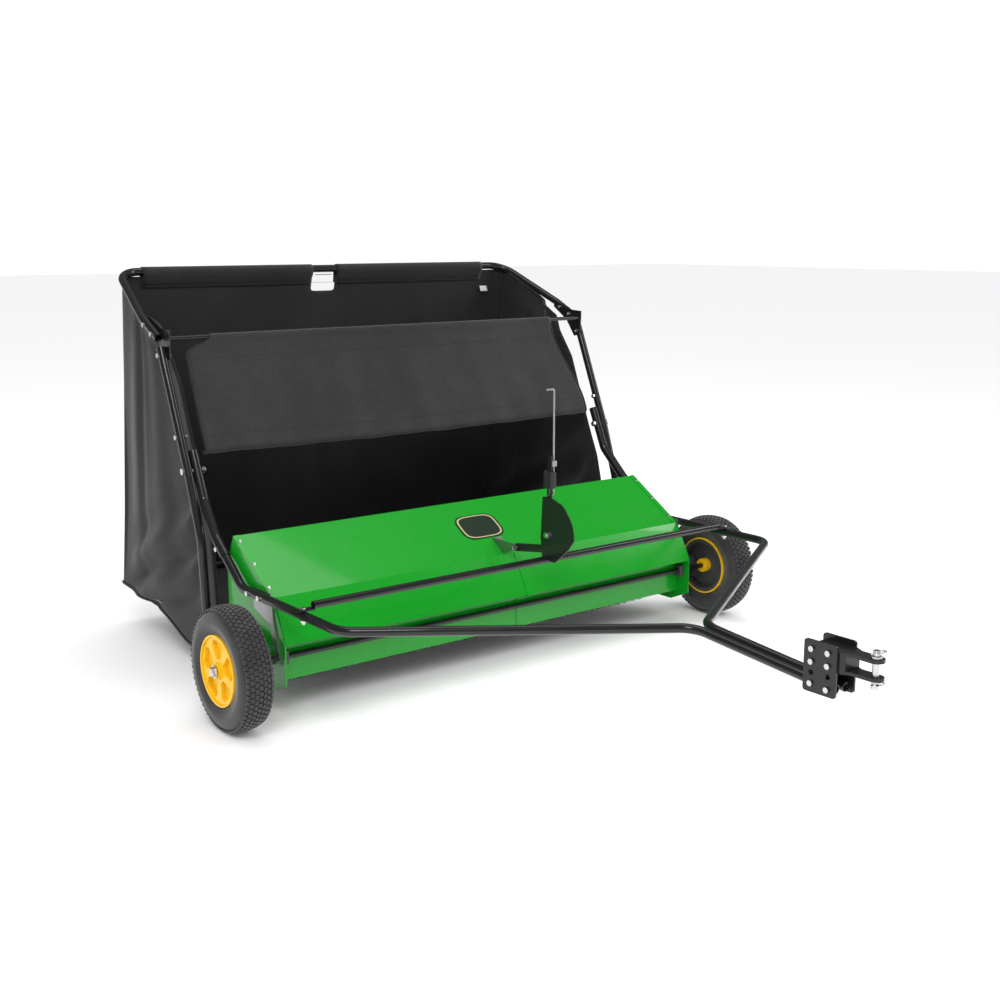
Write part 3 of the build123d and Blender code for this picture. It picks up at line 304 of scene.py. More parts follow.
# %% Give every steel and plastic part its finish
part_finish = {
    housing_green: ["top_panel", "front_shell_left", "front_shell_right", "seam_strap",
                    "side_plate_left", "side_plate_right"],
    case_green: ["gear_cases"],
    tube_black: ["draw_tube_left", "draw_tube_right", "cross_tube", "hopper_arm_left", "hopper_arm_right",
                 "hopper_top_tube", "front_leg_left", "front_leg_right", "lower_leg_left",
                 "lower_leg_right", "bottom_frame", "windscreen_rod", "axle_rod"],
    plate_black: ["hitch_plates", "clevis", "knee_gussets", "lever_sector", "lever_arm", "lift_link"],
    bright_zinc: ["draw_frame_bolts", "hitch_bolts", "hitch_pin", "hairpin_lower", "hairpin_upper",
                  "hopper_bolts", "dump_pivot_bolts", "hub_nuts", "link_top_pin", "panel_screws",
                  "foot_spacers"],
    dull_zinc: ["axle_bracket_left", "axle_bracket_right", "housing_lug", "brush_bars", "brush_shaft",
                "release_rod_guide", "release_rod"],
    wheel_yellow: ["wheel_left", "wheel_right"],
    dark_plastic: ["lever_grip"],
    gear_plastic: ["ring_gear_left", "ring_gear_right", "pinion_left", "pinion_right", "brush_spiders",
                   "shaft_bearings"],
    belt_rubber: ["drive_belts"],
    badge_dark: ["name_plate"],
}
for finish, names in part_finish.items():
    for name in names:
        if not nodes[name].material_slots:
            nodes[name].data.materials.append(finish)
        for slot in nodes[name].material_slots:
            slot.link = "OBJECT"
            slot.material = finish
print("finished parts:", sum(len(names) for names in part_finish.values()))


# %% [markdown]
# ## Sheets from grids
# Cloth pieces are grids of points worked out with numpy. A grid becomes a mesh of quads, and a
# Solidify modifier gives it its real thickness before it is made plain.

# %% Grid, tube and plain-mesh helpers
def keep_plain(item, name):
    """Replaces an object by its evaluated mesh, with no modifiers left."""
    shape = bpy.data.meshes.new_from_object(item.evaluated_get(bpy.context.evaluated_depsgraph_get()))
    shape.name = name
    made = bpy.data.objects.new(name, shape)
    bpy.context.scene.collection.objects.link(made)
    bpy.data.objects.remove(item)
    return made


def put(name, points, faces, finish):
    """A smooth-shaded mesh object in one finish."""
    shape = bpy.data.meshes.new(name)
    shape.from_pydata([tuple(p) for p in points], [], faces)
    shape.materials.append(finish)
    shape.polygons.foreach_set("use_smooth", [True] * len(shape.polygons))
    made = bpy.data.objects.new(name, shape)
    bpy.context.scene.collection.objects.link(made)
    bpy.context.view_layer.update()
    return made


def grid_faces(rows, columns, skip=lambda r, c: False, close=False):
    """Quads of a grid; close joins the last column to the first."""
    faces = []
    for r in range(rows - 1):
        for c in range(columns if close else columns - 1):
            if not skip(r, c):
                d = (c + 1) % columns
                this, below = r * columns, (r + 1) * columns
                faces.append((this + c, this + d, below + d, below + c))
    return faces


def cloth(name, grid, finish, thickness, skip=lambda r, c: False):
    """A closed sheet of real thickness over a grid of shape (rows, columns, 3)."""
    rows, columns = grid.shape[:2]
    made = put("raw", grid.reshape(-1, 3), grid_faces(rows, columns, skip), finish)
    wall = made.modifiers.new("wall", "SOLIDIFY")
    wall.thickness, wall.offset = thickness, 0.0
    return keep_plain(made, name)


def cord_along(name, points, radius, finish):
    """A round binding along points."""
    curve = bpy.data.curves.new(name, "CURVE")
    curve.dimensions = "3D"
    line = curve.splines.new("POLY")
    line.points.add(len(points) - 1)
    for knot, place in zip(line.points, points):
        knot.co = (*place, 1.0)
    curve.bevel_depth, curve.bevel_resolution, curve.use_fill_caps = radius, 3, True
    curve.materials.append(finish)
    made = bpy.data.objects.new("raw", curve)
    bpy.context.scene.collection.objects.link(made)
    bpy.context.view_layer.update()
    return keep_plain(made, name)


def ease(value, low, high):
    """Smooth step from 0 to 1."""
    t = np.clip((np.asarray(value, float) - low) / (high - low), 0, 1)
    return t * t * (3 - 2 * t)


# %% [markdown]
# ## Geometry Nodes
# Tread blocks, filaments and stitches are one small shape repeated hundreds of times by a rule. A
# geometry tree says the rule once, with its sizes as named inputs. The Points node makes as many
# points as are wanted, formulas on Index place them, and Realize Instances makes a plain mesh.

# %% A geometry tree with named inputs
class Grower:
    """A geometry tree: inputs by name, nodes by kind, and a result that ends in a finish."""

    def __init__(self, name, finish, **sizes):
        self.tree = bpy.data.node_groups.new(name, "GeometryNodeTree")
        self.tree.interface.new_socket("Geometry", in_out="INPUT", socket_type="NodeSocketGeometry")
        self.tree.interface.new_socket("Geometry", in_out="OUTPUT", socket_type="NodeSocketGeometry")
        self.keys = {}
        for label, value in sizes.items():
            kind = "NodeSocketInt" if isinstance(value, int) else "NodeSocketFloat"
            made = self.tree.interface.new_socket(label, in_out="INPUT", socket_type=kind)
            made.default_value = value
            self.keys[label] = (made.identifier, value)
        self.start = self.tree.nodes.new("NodeGroupInput")
        self.end = self.tree.nodes.new("NodeGroupOutput")
        self.finish = finish

    def size(self, label):
        return Wire(self.tree, self.start.outputs[label])

    def add(self, kind, output=0, inputs=None, **settings):
        node = self.tree.nodes.new(kind)
        for label, value in settings.items():
            setattr(node, label, value)
        for label, value in (inputs or {}).items():
            plug(self.tree, node.inputs[label], value)
        return Wire(self.tree, node.outputs[output])

    def index(self):
        return self.add("GeometryNodeInputIndex")

    def vector(self, x, y, z):
        return self.add("ShaderNodeCombineXYZ", 0, {"X": x, "Y": y, "Z": z})

    def scatter(self, places, shape, turn, scale=(1.0, 1.0, 1.0)):
        """Puts a copy of shape on every point, makes it real and gives it the finish."""
        copies = self.add("GeometryNodeInstanceOnPoints", 0,
                          {"Points": places, "Instance": shape, "Rotation": turn, "Scale": scale})
        real = self.add("GeometryNodeRealizeInstances", 0, {"Geometry": copies})
        done = self.add("GeometryNodeSetMaterial", 0, {"Geometry": real, "Material": self.finish})
        self.tree.links.new(done.socket, self.end.inputs[0])

    def grow(self, name, base=None):
        """Runs the tree on base, or on nothing, and returns the plain mesh."""
        base = base or put("seed", [(0, 0, 0)], [], self.finish)
        step = base.modifiers.new("grow", "NODES")
        step.node_group = self.tree
        for key, value in self.keys.values():
            step[key] = value
        bpy.context.view_layer.update()
        made = keep_plain(base, name)
        print(name, "faces:", len(made.data.polygons))
        return made


# %% [markdown]
# ## Tyres
# A turf tyre is a round-shouldered ring with rows of small blocks. The carcass is a profile
# turned about the axle. The blocks are a tree: row and place in the row come from Index, the
# outer rows sit lower on the crown and lean outwards, and every other row is half a pitch round.

# %% Tyre carcass
def half_size(node, axis):
    low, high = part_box(node)
    return (high[axis] - low[axis]) / 2


axle_z = sum(corner[2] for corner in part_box("tyre_left")) / 2
tread_radius = half_size("tyre_left", 2)
tyre_half = half_size("tyre_left", 0)
bead_radius = half_size("wheel_left", 2)
block_height = 0.0035


def crown(x):
    """Radius of the carcass at a distance from the tyre's middle."""
    return tread_radius - block_height - 0.010 * (abs(x) / (tyre_half - 0.004)) ** 2.6


def carcass(middle, name):
    """The plain tyre: bead, ribbed sidewall and crown, turned about the axle."""
    side = [(tyre_half - 0.010, bead_radius), (tyre_half - 0.006, bead_radius + 0.003),
            (tyre_half - 0.005, bead_radius + 0.010), (tyre_half - 0.002, bead_radius + 0.014),
            (tyre_half - 0.001, bead_radius + 0.022), (tyre_half - 0.0005, bead_radius + 0.024),
            (tyre_half - 0.001, bead_radius + 0.026), (tyre_half - 0.001, tread_radius - 0.020),
            (tyre_half - 0.004, tread_radius - 0.0145)]
    top = [(x, crown(x)) for x in np.linspace(tyre_half - 0.006, -tyre_half + 0.006, 15)]
    outline = side + top + [(-x, r) for x, r in reversed(side)]
    turns = 96
    points = [(middle + x, r * math.cos(a), axle_z + r * math.sin(a))
              for x, r in outline for a in np.linspace(0, 2 * math.pi, turns, endpoint=False)]
    faces = grid_faces(len(outline), turns, close=True)
    inner = (len(outline) - 1) * turns
    faces += [(inner + c, inner + (c + 1) % turns, (c + 1) % turns, c) for c in range(turns)]
    return put(name, points, faces, tyre_rubber)


# %% Tread blocks
def tread_tree(middle):
    """Rows of blocks round a tyre whose middle is at X = middle."""
    tree = Grower("tread", tyre_rubber, per_row=64, rows=7, row_step=0.0083, reach=tread_radius - 0.0032,
                  drop=7.4, block_long=0.0086, block_wide=0.0062, block_high=0.0062)
    index, per_row = tree.index(), tree.size("per_row")
    row = (index / per_row).math("FLOOR")
    odd = row.math("MODULO", 2.0)
    along = index - row * per_row + odd * 0.5
    angle = along * (2 * math.pi) / per_row
    out = (row - (tree.size("rows") - 1.0) * 0.5) * tree.size("row_step")
    radius = tree.size("reach") - out * out * tree.size("drop")
    place = tree.vector(out + middle, radius * angle.math("COSINE"), radius * angle.math("SINE") + axle_z)
    points = tree.add("GeometryNodePoints", 0, {"Count": per_row * tree.size("rows"), "Position": place})
    block = tree.add("GeometryNodeMeshCube", 0, {"Size": tree.vector(
        tree.size("block_wide"), tree.size("block_long"), tree.size("block_high"))})
    lean = tree.vector(0.0, 0.0, (odd - 0.5) * 0.5)
    spin = tree.add("FunctionNodeEulerToRotation", 0, {"Euler": tree.vector(angle - math.pi / 2, 0.0, 0.0)})
    twist = tree.add("FunctionNodeEulerToRotation", 0, {"Euler": lean})
    tip = tree.add("FunctionNodeEulerToRotation", 0, {"Euler": tree.vector(0.0, out * 13.0, 0.0)})
    inner = tree.add("FunctionNodeRotateRotation", 0, {"Rotation": twist, "Rotate By": tip})
    turn = tree.add("FunctionNodeRotateRotation", 0, {"Rotation": inner, "Rotate By": spin})
    tree.scatter(points, block, turn)
    return tree


# %% Put the tyres on
def join(name, *items):
    """Several meshes as one plain object."""
    points, faces, finishes, indices = [], [], [], []
    for item in items:
        start = len(points)
        points += [tuple(v.co) for v in item.data.vertices]
        for face in item.data.polygons:
            faces.append(tuple(start + v for v in face.vertices))
            stuff = item.data.materials[face.material_index]
            if stuff not in finishes:
                finishes.append(stuff)
            indices.append((finishes.index(stuff), face.use_smooth))
    made = put(name, points, faces, finishes[0])
    for stuff in finishes[1:]:
        made.data.materials.append(stuff)
    for face, (number, smooth) in zip(made.data.polygons, indices):
        face.material_index, face.use_smooth = number, smooth
    for item in items:
        bpy.data.objects.remove(item)
    return made


def face_outwards(item):
    work = bmesh.new()
    work.from_mesh(item.data)
    bmesh.ops.recalc_face_normals(work, faces=work.faces)
    work.to_mesh(item.data)
    work.free()
    return item


for side in ("left", "right"):
    middle = sum(corner[0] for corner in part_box(f"tyre_{side}")) / 2
    body = face_outwards(carcass(middle, f"carcass_{side}"))
    blocks = face_outwards(tread_tree(middle).grow(f"tread_{side}"))
    tyre = join(f"turf_tyre_{side}", body, blocks)
    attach(tyre, f"wheel_{side}")
    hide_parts(f"tyre_{side}")
    print(tyre.name, "faces:", len(tyre.data.polygons))


# %% [markdown]
# ## Brush filaments
# Six rows of stiff filaments are clamped in channels round the shaft. Each tuft is a thin
# four-sided cone as wide as a few filaments. A random lean with a fixed seed breaks up the row.

# %% Grow the brush
low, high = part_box("bristle_strips")
brush_middle = [(a + b) / 2 for a, b in zip(low, high)]
brush_reach = (high[1] - low[1]) / 2
shaft_clear = half_size("brush_spiders", 1) + 0.004


def brush_tree():
    """Tufts in straight rows along the shaft, each standing out from it."""
    tree = Grower("filaments", brush_black, rows=6, per_row=780, length=high[0] - low[0] - 0.006,
                  root=shaft_clear, tuft=0.0011, seed=7)
    index, per_row = tree.index(), tree.size("per_row")
    row = (index / per_row).math("FLOOR")
    along = (index - row * per_row) / per_row
    angle = row * (2 * math.pi) / tree.size("rows")
    jitter = tree.add("FunctionNodeRandomValue", 1, {"Seed": tree.size("seed")}, data_type="FLOAT")
    sway = (jitter - 0.5) * 0.012
    side_y, side_z = -angle.math("SINE"), angle.math("COSINE")
    place = tree.vector((along - 0.5) * tree.size("length") + brush_middle[0],
                        tree.size("root") * angle.math("COSINE") + side_y * sway + brush_middle[1],
                        tree.size("root") * angle.math("SINE") + side_z * sway + brush_middle[2])
    points = tree.add("GeometryNodePoints", 0, {"Count": per_row * tree.size("rows"), "Position": place})
    spike = tree.add("GeometryNodeMeshCone", 0, {
        "Vertices": 4, "Radius Top": tree.size("tuft") * 0.6, "Radius Bottom": tree.size("tuft"),
        "Depth": brush_reach - shaft_clear - 0.001})
    lean = (jitter - 0.5) * 0.07
    turn = tree.vector(angle - math.pi / 2 + lean, 0.0, 0.0)
    euler = tree.add("FunctionNodeEulerToRotation", 0, {"Euler": turn})
    tree.scatter(points, spike, euler)
    return tree


bristles = brush_tree().grow("bristles")
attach(bristles, "brush")
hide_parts("bristle_strips")


# %% [markdown]
# ## The cloth hopper
# The hopper is sewn from flat panels but hangs as one sagging shell. Each side panel fills the
# area between four border lines (a Coons patch): the front hem along the leg, the top hem under
# the rail, the rear corner and the bottom edge. Smooth waves in the surface make the folds, and
# the rear panel joins on round a soft corner. It is one grid from front hem to front hem.

# %% Border lines of a side panel, as Y and Z
mm = 0.001
front_hem = np.array([(493, 746), (478, 706), (428, 640), (391, 547), (352, 452), (320, 380), (304, 318),
                      (294, 220), (288, 130), (304, 76)]) * mm
rear_corner = np.array([(737, 866), (745, 780), (760, 620), (779, 470), (801, 300), (828, 145),
                        (834, 110)]) * mm
bottom_dip = 0.040


def dip(s):
    """How far the bottom edge hangs below its straight line."""
    return bottom_dip * np.exp(-((s - 0.24) / 0.22) ** 2) * ease(s, 0.0, 0.12)


def follow(points, share):
    """Points at the given shares of a polyline's length."""
    steps = np.r_[0, np.cumsum(np.linalg.norm(np.diff(points, axis=0), axis=1))]
    at = np.asarray(share) * steps[-1]
    return np.stack([np.interp(at, steps, points[:, k]) for k in range(points.shape[1])], axis=-1)


def side_panel(s, v):
    """Y, Z of the side panel at s from front to rear and v from top to bottom."""
    front, rear = follow(front_hem, v), follow(rear_corner, v)
    top = follow(np.array([front_hem[0], rear_corner[0]]), s)
    base = follow(np.array([front_hem[-1], rear_corner[-1]]), s)
    base[..., 1] -= dip(s)
    a, b, c, d = front_hem[0], rear_corner[0], front_hem[-1], rear_corner[-1]
    s, v = s[..., None], v[..., None]
    return ((1 - s) * front + s * rear + (1 - v) * top + v * base
            - (1 - s) * (1 - v) * a - s * (1 - v) * b - (1 - s) * v * c - s * v * d)


# %% Wrap the panels into one shell
bag_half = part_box("hopper_bag")[1][0] - 0.001
corner_radius = 0.022
cloth_thick = 0.0016
side_columns, corner_columns, rear_columns = 46, 7, 96
rear_start = side_columns + corner_columns


def fold_wave(s, v, flip):
    """How far cloth stands out from the flat panel."""
    free = ease(s, 0.22, 0.5) * np.sin(np.pi * np.clip(v, 0, 1)) ** 0.7
    belly = 0.010 * np.sin(np.pi * s)
    slow = 0.0040 * np.sin(9.0 * s + 2.6 * v + flip) + 0.0025 * np.sin(21.0 * s - 4.0 * v + 2 * flip)
    crease = -0.006 * np.exp(-((s - 0.62 - 0.16 * v) / 0.035) ** 2)
    slant = v - 0.56 - 0.40 * s
    ridges = ((-0.02, 0.013, 0.030), (0.055, -0.012, 0.022), (0.12, 0.011, 0.030),
              (0.18, -0.008, 0.020), (-0.10, -0.006, 0.035))
    drawn = sum(size * np.exp(-((slant - at) / wide) ** 2) for at, size, wide in ridges)
    return free * (belly + slow + crease) + drawn * ease(s, 0.05, 0.2) * (1 - ease(s, 0.72, 0.95))


def shell_grid(rows=70):
    """Left panel, rear panel and right panel as one grid, top to bottom."""
    v = np.linspace(0, 1, rows)[:, None]
    s = np.linspace(0, 1, side_columns)[None, :]
    vv, ss = np.broadcast_arrays(v, s)
    flat = side_panel(ss.astype(float), vv.astype(float))
    front_y = flat[:, :1, 0]
    rear_line = follow(rear_corner, v[:, 0])
    reach = (rear_line[:, :1] - corner_radius - front_y) / (rear_line[:, :1] - front_y)
    y_side = front_y + (flat[..., 0] - front_y) * reach
    columns = []
    for sign in (-1, 1):
        out = fold_wave(ss, vv, 0.0 if sign < 0 else 1.7)
        under_rail = (1 - ease(vv, 0.0, 0.10)) * ease(ss, 0.18, 0.34) * (1 - ease(ss, 0.34, 1.0))
        x = sign * (bag_half + out + under_rail * 0.018)
        panel = np.stack([x, y_side, flat[..., 1]], axis=-1)
        turns = np.linspace(0, np.pi / 2, corner_columns + 2)[1:-1]
        x_turn = sign * (bag_half - corner_radius + corner_radius * np.cos(turns))[None, :] + 0 * v
        y_turn = rear_line[:, :1] - corner_radius + corner_radius * np.sin(turns)[None, :]
        bend = np.stack([x_turn, y_turn, rear_line[:, 1:2] + 0 * x_turn], axis=-1)
        columns.append((panel, bend))
    u = np.linspace(0, 1, rear_columns)[None, :]
    x_rear = (2 * u - 1) * (bag_half - corner_radius) + 0 * v
    sag = 0.016 * np.sin(np.pi * u) ** 0.6 * np.sin(np.pi * v) ** 0.8
    ripple = 0.0035 * np.sin(26 * u + 3 * v) * np.sin(np.pi * v)
    ripple = ripple + 0.0025 * np.sin(47 * u - 5 * v) * v * (1 - v) * 3
    y_rear = rear_line[:, :1] + sag + ripple
    z_rear = rear_line[:, 1:2] - 0.006 * np.sin(np.pi * u) * (1 - v)
    rear = np.stack([x_rear, y_rear + 0 * u, z_rear + 0 * u], axis=-1)
    left, right = columns
    return np.concatenate([left[0], left[1], rear, right[1][:, ::-1], right[0][:, ::-1]], axis=1)


shell = shell_grid()
print("hopper grid:", shell.shape)


# %% [markdown]
# The rear panel has a hand hole just under the tube. Faces whose middles fall inside it are left
# out, and the grid's points round it are moved onto its rounded outline so that the edge is clean.

# %% Cut the hand hole and make the shell
hole_middle, hole_half, hole_corner = (-0.017, 0.8405), (0.035, 0.021), 0.009
edge_reach = 0.0045


def hole_distance(x, z):
    """Below 0 inside the rounded hole."""
    dx = np.abs(x - hole_middle[0]) - hole_half[0] + hole_corner
    dz = np.abs(z - hole_middle[1]) - hole_half[1] + hole_corner
    return np.hypot(np.maximum(dx, 0), np.maximum(dz, 0)) + np.minimum(np.maximum(dx, dz), 0) - hole_corner


def refine_rear(grid):
    """Adds rows near the top so that the hole's outline has enough points."""
    rows = grid.shape[0]
    fine = np.concatenate([np.linspace(0, 0.12, 34), np.linspace(0.12, 1, rows - 8)[1:]]) * (rows - 1)
    low_row = np.minimum(fine.astype(int), rows - 2)
    share = (fine - low_row)[:, None, None]
    return grid[low_row] * (1 - share) + grid[low_row + 1] * share


shell = refine_rear(shell)
rear_part = shell[:, rear_start:rear_start + rear_columns]
x_even = rear_part[0, :, 0]
squeeze = 0.55 * np.exp(-((x_even - hole_middle[0]) / 0.11) ** 2)
rear_part[:, :, 0] = hole_middle[0] + (x_even - hole_middle[0]) * (1 - squeeze)
off_edge = hole_distance(rear_part[..., 0], rear_part[..., 2])
for r, c in np.argwhere(np.abs(off_edge) < edge_reach):
    x, z = rear_part[r, c, 0], rear_part[r, c, 2]
    slope_x = (hole_distance(x + 1e-5, z) - hole_distance(x - 1e-5, z)) / 2e-5
    slope_z = (hole_distance(x, z + 1e-5) - hole_distance(x, z - 1e-5)) / 2e-5
    rear_part[r, c, 0] -= off_edge[r, c] * slope_x
    rear_part[r, c, 2] -= off_edge[r, c] * slope_z
columns = shell.shape[1]


def in_hole(r, c):
    """True where a face of the shell lies in the hand hole."""
    d = (c + 1) % columns
    middle = (shell[r, c] + shell[r + 1, c] + shell[r, d] + shell[r + 1, d]) / 4
    return rear_start <= c < rear_start + rear_columns - 1 and hole_distance(middle[0], middle[2]) < -0.0005


hopper_shell = cloth("hopper_shell", shell, bag_cloth, cloth_thick, in_hole)
print("hopper shell faces:", len(hopper_shell.data.polygons))


# %% Hopper floor
def floor_grid(rows=44, columns=60):
    """From the front lip back to the rear bottom edge."""
    left = shell[-1, :side_columns]
    s = np.linspace(0, 1, rows)
    edge = follow(left[:, 1:], s)
    edge[-1, 0] = shell[-1, rear_start + 4, 1]
    u = np.linspace(-1, 1, columns)
    x = (bag_half - 0.0005) * u[None, :] + 0 * s[:, None]
    hang = -0.012 * np.sin(np.pi * s)[:, None] * np.cos(np.pi * u / 2)[None, :] ** 0.5
    flat_front = dip(s)[:, None] * (1 - np.abs(u[None, :]) ** 5) * 0.55
    wave = 0.003 * np.sin(17 * u)[None, :] * np.sin(5 * np.pi * s)[:, None]
    return np.stack([x, edge[:, :1] + 0 * x, edge[:, 1:] + hang + flat_front + wave], axis=-1)


hopper_floor = cloth("hopper_floor", floor_grid(), bag_cloth, cloth_thick)

# %% [markdown]
# ## Hems, sleeve and stitches
# Bindings cover the cut edges: a round cord along the front hems, down the rear corners and round
# the bottom. The rear panel is turned over the top tube as a sleeve and sewn down below it. The
# stitches are a tree that walks along a line and drops a short thread every few millimetres.

# %% Bindings along the edges
left_front, right_front = shell[:, 0], shell[:, -1]
rail_left = shell[0, :side_columns]
rail_right = shell[0, -side_columns:]
bottom_loop = shell[-1]
corner_left = shell[:, side_columns + corner_columns // 2]
corner_right = shell[:, -(side_columns + corner_columns // 2 + 1)]
bindings = [
    cord_along("front_binding_left", left_front, 0.0042, bag_hem),
    cord_along("front_binding_right", right_front, 0.0042, bag_hem),
    cord_along("rail_binding_left", rail_left, 0.0038, bag_hem),
    cord_along("rail_binding_right", rail_right, 0.0038, bag_hem),
    cord_along("bottom_binding", bottom_loop, 0.0046, bag_hem),
    cord_along("lip_binding", floor_grid()[0], 0.0040, bag_hem),
    cord_along("corner_seam_left", corner_left, 0.0022, bag_hem),
    cord_along("corner_seam_right", corner_right, 0.0022, bag_hem),
]
hopper_binding = join("hopper_binding", *bindings)
print("bindings:", len(bindings))

# %% Sleeve over the rear tube
tube_radius = 0.0095
tube_y, tube_z = 0.735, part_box("hopper_top_tube")[1][2] - tube_radius


def sleeve(name, start, end):
    """Cloth turned over the tube between two X places."""
    radius = tube_radius + cloth_thick
    angles = np.linspace(0, np.pi, 15)
    over = [(tube_y + radius * math.cos(a), tube_z + radius * math.sin(a)) for a in angles]
    outside = [(tube_y + radius + 0.0045, tube_z - 0.036), (tube_y + radius + 0.003, tube_z - 0.02)]
    inside = [(tube_y - radius + 0.001, tube_z - 0.012), (tube_y - radius + 0.009, tube_z - 0.024),
              (tube_y - radius + 0.0125, tube_z - 0.038)]
    profile = np.array(outside + over + inside)
    x = np.linspace(start, end, max(8, int(abs(end - start) / 0.012)))
    wave = 0.0008 * np.sin(70 * x) + 0.0005 * np.sin(170 * x)
    grid = np.zeros((len(profile), len(x), 3))
    grid[..., 0] = x[None, :]
    grid[..., 1] = profile[:, :1] + wave[None, :] * np.linspace(1, 0, len(profile))[:, None]
    grid[..., 2] = profile[:, 1:] + 0 * x[None, :]
    return cloth(name, grid, bag_cloth, 0.0012)


hole_edge = hole_half[0] + 0.002
sleeves = join("rear_sleeve",
               sleeve("sleeve_left", -bag_half + 0.055, hole_middle[0] - hole_edge),
               sleeve("sleeve_right", hole_middle[0] + hole_edge, bag_half - 0.075))


# %% Stitches along a line
def stitch_tree():
    """Short threads at an even spacing along a line."""
    tree = Grower("stitches", thread_grey, spacing=0.0065, thread_long=0.0045, thread_radius=0.00055)
    line = tree.add("GeometryNodeMeshToCurve", 0, {"Mesh": Wire(tree.tree, tree.start.outputs[0])})
    walk = tree.tree.nodes.new("GeometryNodeCurveToPoints")
    walk.mode = "LENGTH"
    plug(tree.tree, walk.inputs["Curve"], line)
    plug(tree.tree, walk.inputs["Length"], tree.size("spacing"))
    turn = tree.add("FunctionNodeAlignRotationToVector", 0,
                    {"Vector": Wire(tree.tree, walk.outputs["Tangent"])}, axis="Z")
    thread = tree.add("GeometryNodeMeshCylinder", 0, {
        "Vertices": 5, "Radius": tree.size("thread_radius"), "Depth": tree.size("thread_long")})
    tree.scatter(Wire(tree.tree, walk.outputs["Points"]), thread, turn)
    return tree


def stitches(name, points):
    shape = bpy.data.meshes.new("line")
    shape.from_pydata([tuple(p) for p in points], [(k, k + 1) for k in range(len(points) - 1)], [])
    line = bpy.data.objects.new("line", shape)
    bpy.context.scene.collection.objects.link(line)
    return stitch_tree().grow(name, line)


def beside(line, toward, gap, lift):
    """A line moved gap towards another one and lift off the cloth along X."""
    step = toward - line
    step = step / np.maximum(np.linalg.norm(step, axis=1, keepdims=True), 1e-9)
    moved = line + step * gap
    moved[:, 0] += lift
    return moved


seam_rows = [
    stitches("front_stitches_left", beside(shell[:, 0], shell[:, 3], 0.010, -0.0012)),
    stitches("front_stitches_right", beside(shell[:, -1], shell[:, -4], 0.010, 0.0012)),
    stitches("inner_stitches_right", beside(shell[:, -1], shell[:, -4], 0.010, -0.0012)),
    stitches("rail_stitches_left", beside(rail_left, shell[3, :side_columns], 0.012, -0.0012)),
    stitches("rail_stitches_right", beside(rail_right, shell[3, -side_columns:], 0.012, -0.0012)),
]
hem_x = np.linspace(-bag_half + 0.06, bag_half - 0.08, 200)
inner_hem = [(x, tube_y - 0.0006, tube_z - 0.035) for x in hem_x if abs(x - hole_middle[0]) > hole_edge]
seam_rows.append(stitches("sleeve_stitches", inner_hem))
hopper_stitches = join("hopper_stitches", *seam_rows)

# %% The small care tag
tag_x, tag_z = 0.5025, 0.8135
tag_points = [[(tag_x + a * 0.0125, tube_y + 0.0012 - 0.003 * (1 - b), tag_z + b * 0.0075)
               for a in (-1, -0.3, 0.4, 1)] for b in (-1, -0.2, 0.5, 1)]
tag = cloth("care_tag", np.array(tag_points), tag_white, 0.0004)

for piece in (hopper_shell, hopper_floor, hopper_binding, sleeves, hopper_stitches, tag):
    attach(piece, "hopper")
    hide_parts("hopper_bag")

# %% [markdown]
# ## The windscreen
# A mesh sheet hangs from its rod and keeps debris from being thrown forwards. Its top hem is
# turned round the rod, its corners are cut back to clear the knees, and its loose bottom edge
# rolls under. The roll is the last rows of the same grid, so the cloth is one continuous sheet.

# %% Hang the screen
rod_low, rod_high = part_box("windscreen_rod")
rod_y, rod_z = (rod_low[1] + rod_high[1]) / 2, (rod_low[2] + rod_high[2]) / 2
rod_radius = (rod_high[2] - rod_low[2]) / 2


def screen_grid(rows=60, columns=120):
    """Round the rod, down the slope and under at the loose edge."""
    wrap = [(rod_y + (rod_radius + 0.0016) * math.cos(a), rod_z + (rod_radius + 0.0016) * math.sin(a))
            for a in np.linspace(-0.9, math.pi * 0.93, 10)]
    fall = [(0.4175, 0.728), (0.411, 0.706), (0.396, 0.664), (0.379, 0.620), (0.361, 0.574), (0.345, 0.536),
            (0.3365, 0.516)]
    roll = [(0.3335, 0.508), (0.3345, 0.5015), (0.3395, 0.4975), (0.3455, 0.4985), (0.3485, 0.503)]
    path = np.array(wrap + fall + roll)
    line = follow(path, np.linspace(0, 1, rows))
    drop = np.clip((rod_z - line[:, 1]) / (rod_z - 0.5), 0, 1)
    left = -0.497 - 0.058 * ease(drop, 0.0, 0.14)
    right = 0.486 + 0.056 * ease(drop, 0.12, 0.9)
    u = np.linspace(0, 1, columns)[None, :]
    x = left[:, None] * (1 - u) + right[:, None] * u
    sag = 0.007 * np.sin(np.pi * u) * np.sin(np.pi * drop[:, None])
    ripple = (0.0022 * np.sin(31 * u + 2.0 * drop[:, None]) + 0.0016 * np.sin(67 * u)) * drop[:, None] ** 0.5
    ripple = ripple * np.minimum(1, drop[:, None] * 6)
    y = line[:, :1] + (sag + ripple) * 0.9
    z = line[:, 1:] - 0.45 * (sag + ripple) - 0.005 * np.sin(np.pi * u) * drop[:, None]
    return np.stack([x, y, z], axis=-1)


screen_points = screen_grid()
screen = cloth("mesh_screen", screen_points, screen_mesh, 0.0012)
screen_edges = join("screen_binding",
                    cord_along("screen_edge_left", screen_points[8:, 0], 0.0026, bag_hem),
                    cord_along("screen_edge_right", screen_points[8:, -1], 0.0026, bag_hem),
                    stitches("screen_top_stitches", screen_points[14] + np.array([0, -0.0012, 0.0004])),
                    stitches("screen_low_stitches", screen_points[-12] + np.array([0, -0.0012, 0.0004])))
for piece in (screen, screen_edges):
    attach(piece, "hopper")
    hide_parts("windscreen")

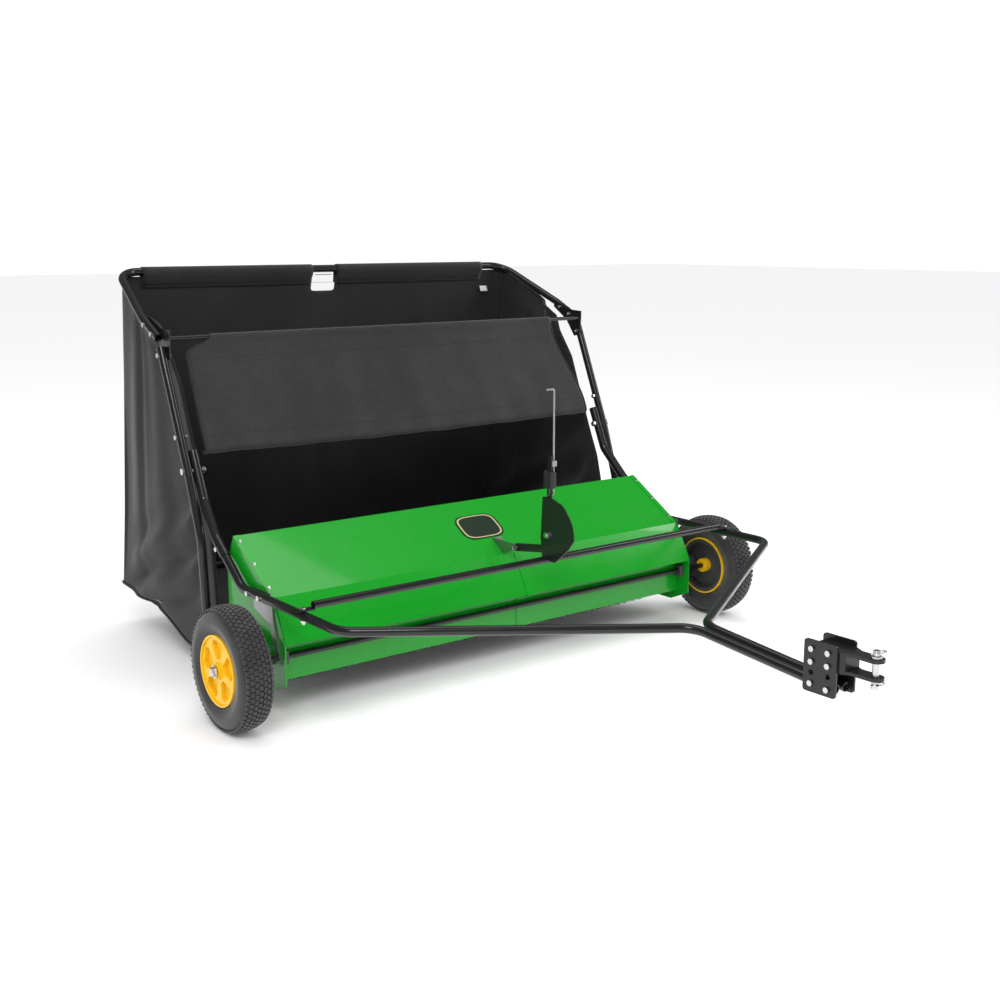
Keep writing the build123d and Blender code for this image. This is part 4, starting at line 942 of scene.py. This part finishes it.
# %% [markdown]
# ## Studio
# A pale floor, a bright even surround and three soft boxes. The large box high in front gives the
# housing its long highlight, and the narrow one at the hitch side draws lines along the tubes.

# %% Floor and surround
floor_finish = Finish("studio floor", (0.93, 0.93, 0.93), 0.9)
ground = put("studio_floor", [(-30, -30, 0), (30, -30, 0), (30, 30, 0), (-30, 30, 0)], [(0, 1, 2, 3)],
             floor_finish.material)
world = bpy.data.worlds.new("surround")
world.use_nodes = True
sky = world.node_tree
mirrored = Wire(sky, sky.nodes.new("ShaderNodeLightPath").outputs["Is Glossy Ray"])
plug(sky, sky.nodes["Background"].inputs["Color"], (1.0, 1.0, 1.0, 1.0))
plug(sky, sky.nodes["Background"].inputs["Strength"], 1.06 - mirrored * 0.9)
bpy.context.scene.world = world
bpy.context.scene.view_settings.view_transform = "Standard"


# %% Soft boxes
def soft_box(name, place, aim, wide, tall, power):
    """A rectangular lamp at place that faces aim."""
    lamp = bpy.data.lights.new(name, "AREA")
    lamp.shape, lamp.size, lamp.size_y, lamp.energy = "RECTANGLE", wide, tall, power
    made = bpy.data.objects.new(name, lamp)
    bpy.context.scene.collection.objects.link(made)
    made.location = place
    way = np.array(aim, float) - np.array(place, float)
    made.rotation_euler = (math.atan2(math.hypot(way[0], way[1]), -way[2]), 0,
                           math.atan2(way[1], way[0]) - math.pi / 2)


soft_box("front box", (-2.4, -2.6, 3.6), (0, 0, 0.3), 1.8, 1.2, 70)
soft_box("side box", (3.2, -1.4, 2.2), (0, 0, 0.4), 0.7, 2.4, 35)
soft_box("top box", (0.3, 0.6, 4.2), (0, 0.2, 0.3), 3.2, 2.0, 40)

# %% Camera
eye = bpy.data.cameras.new("camera")
eye.lens, eye.sensor_width, eye.shift_y = 47.23, 36.0, -0.002
camera = bpy.data.objects.new("camera", eye)
bpy.context.scene.collection.objects.link(camera)
camera.location = (-1.7817, -2.2678, 0.9637)
camera.rotation_euler = (math.radians(90 - 11.36), 0, math.radians(-37.99))
bpy.context.scene.camera = camera
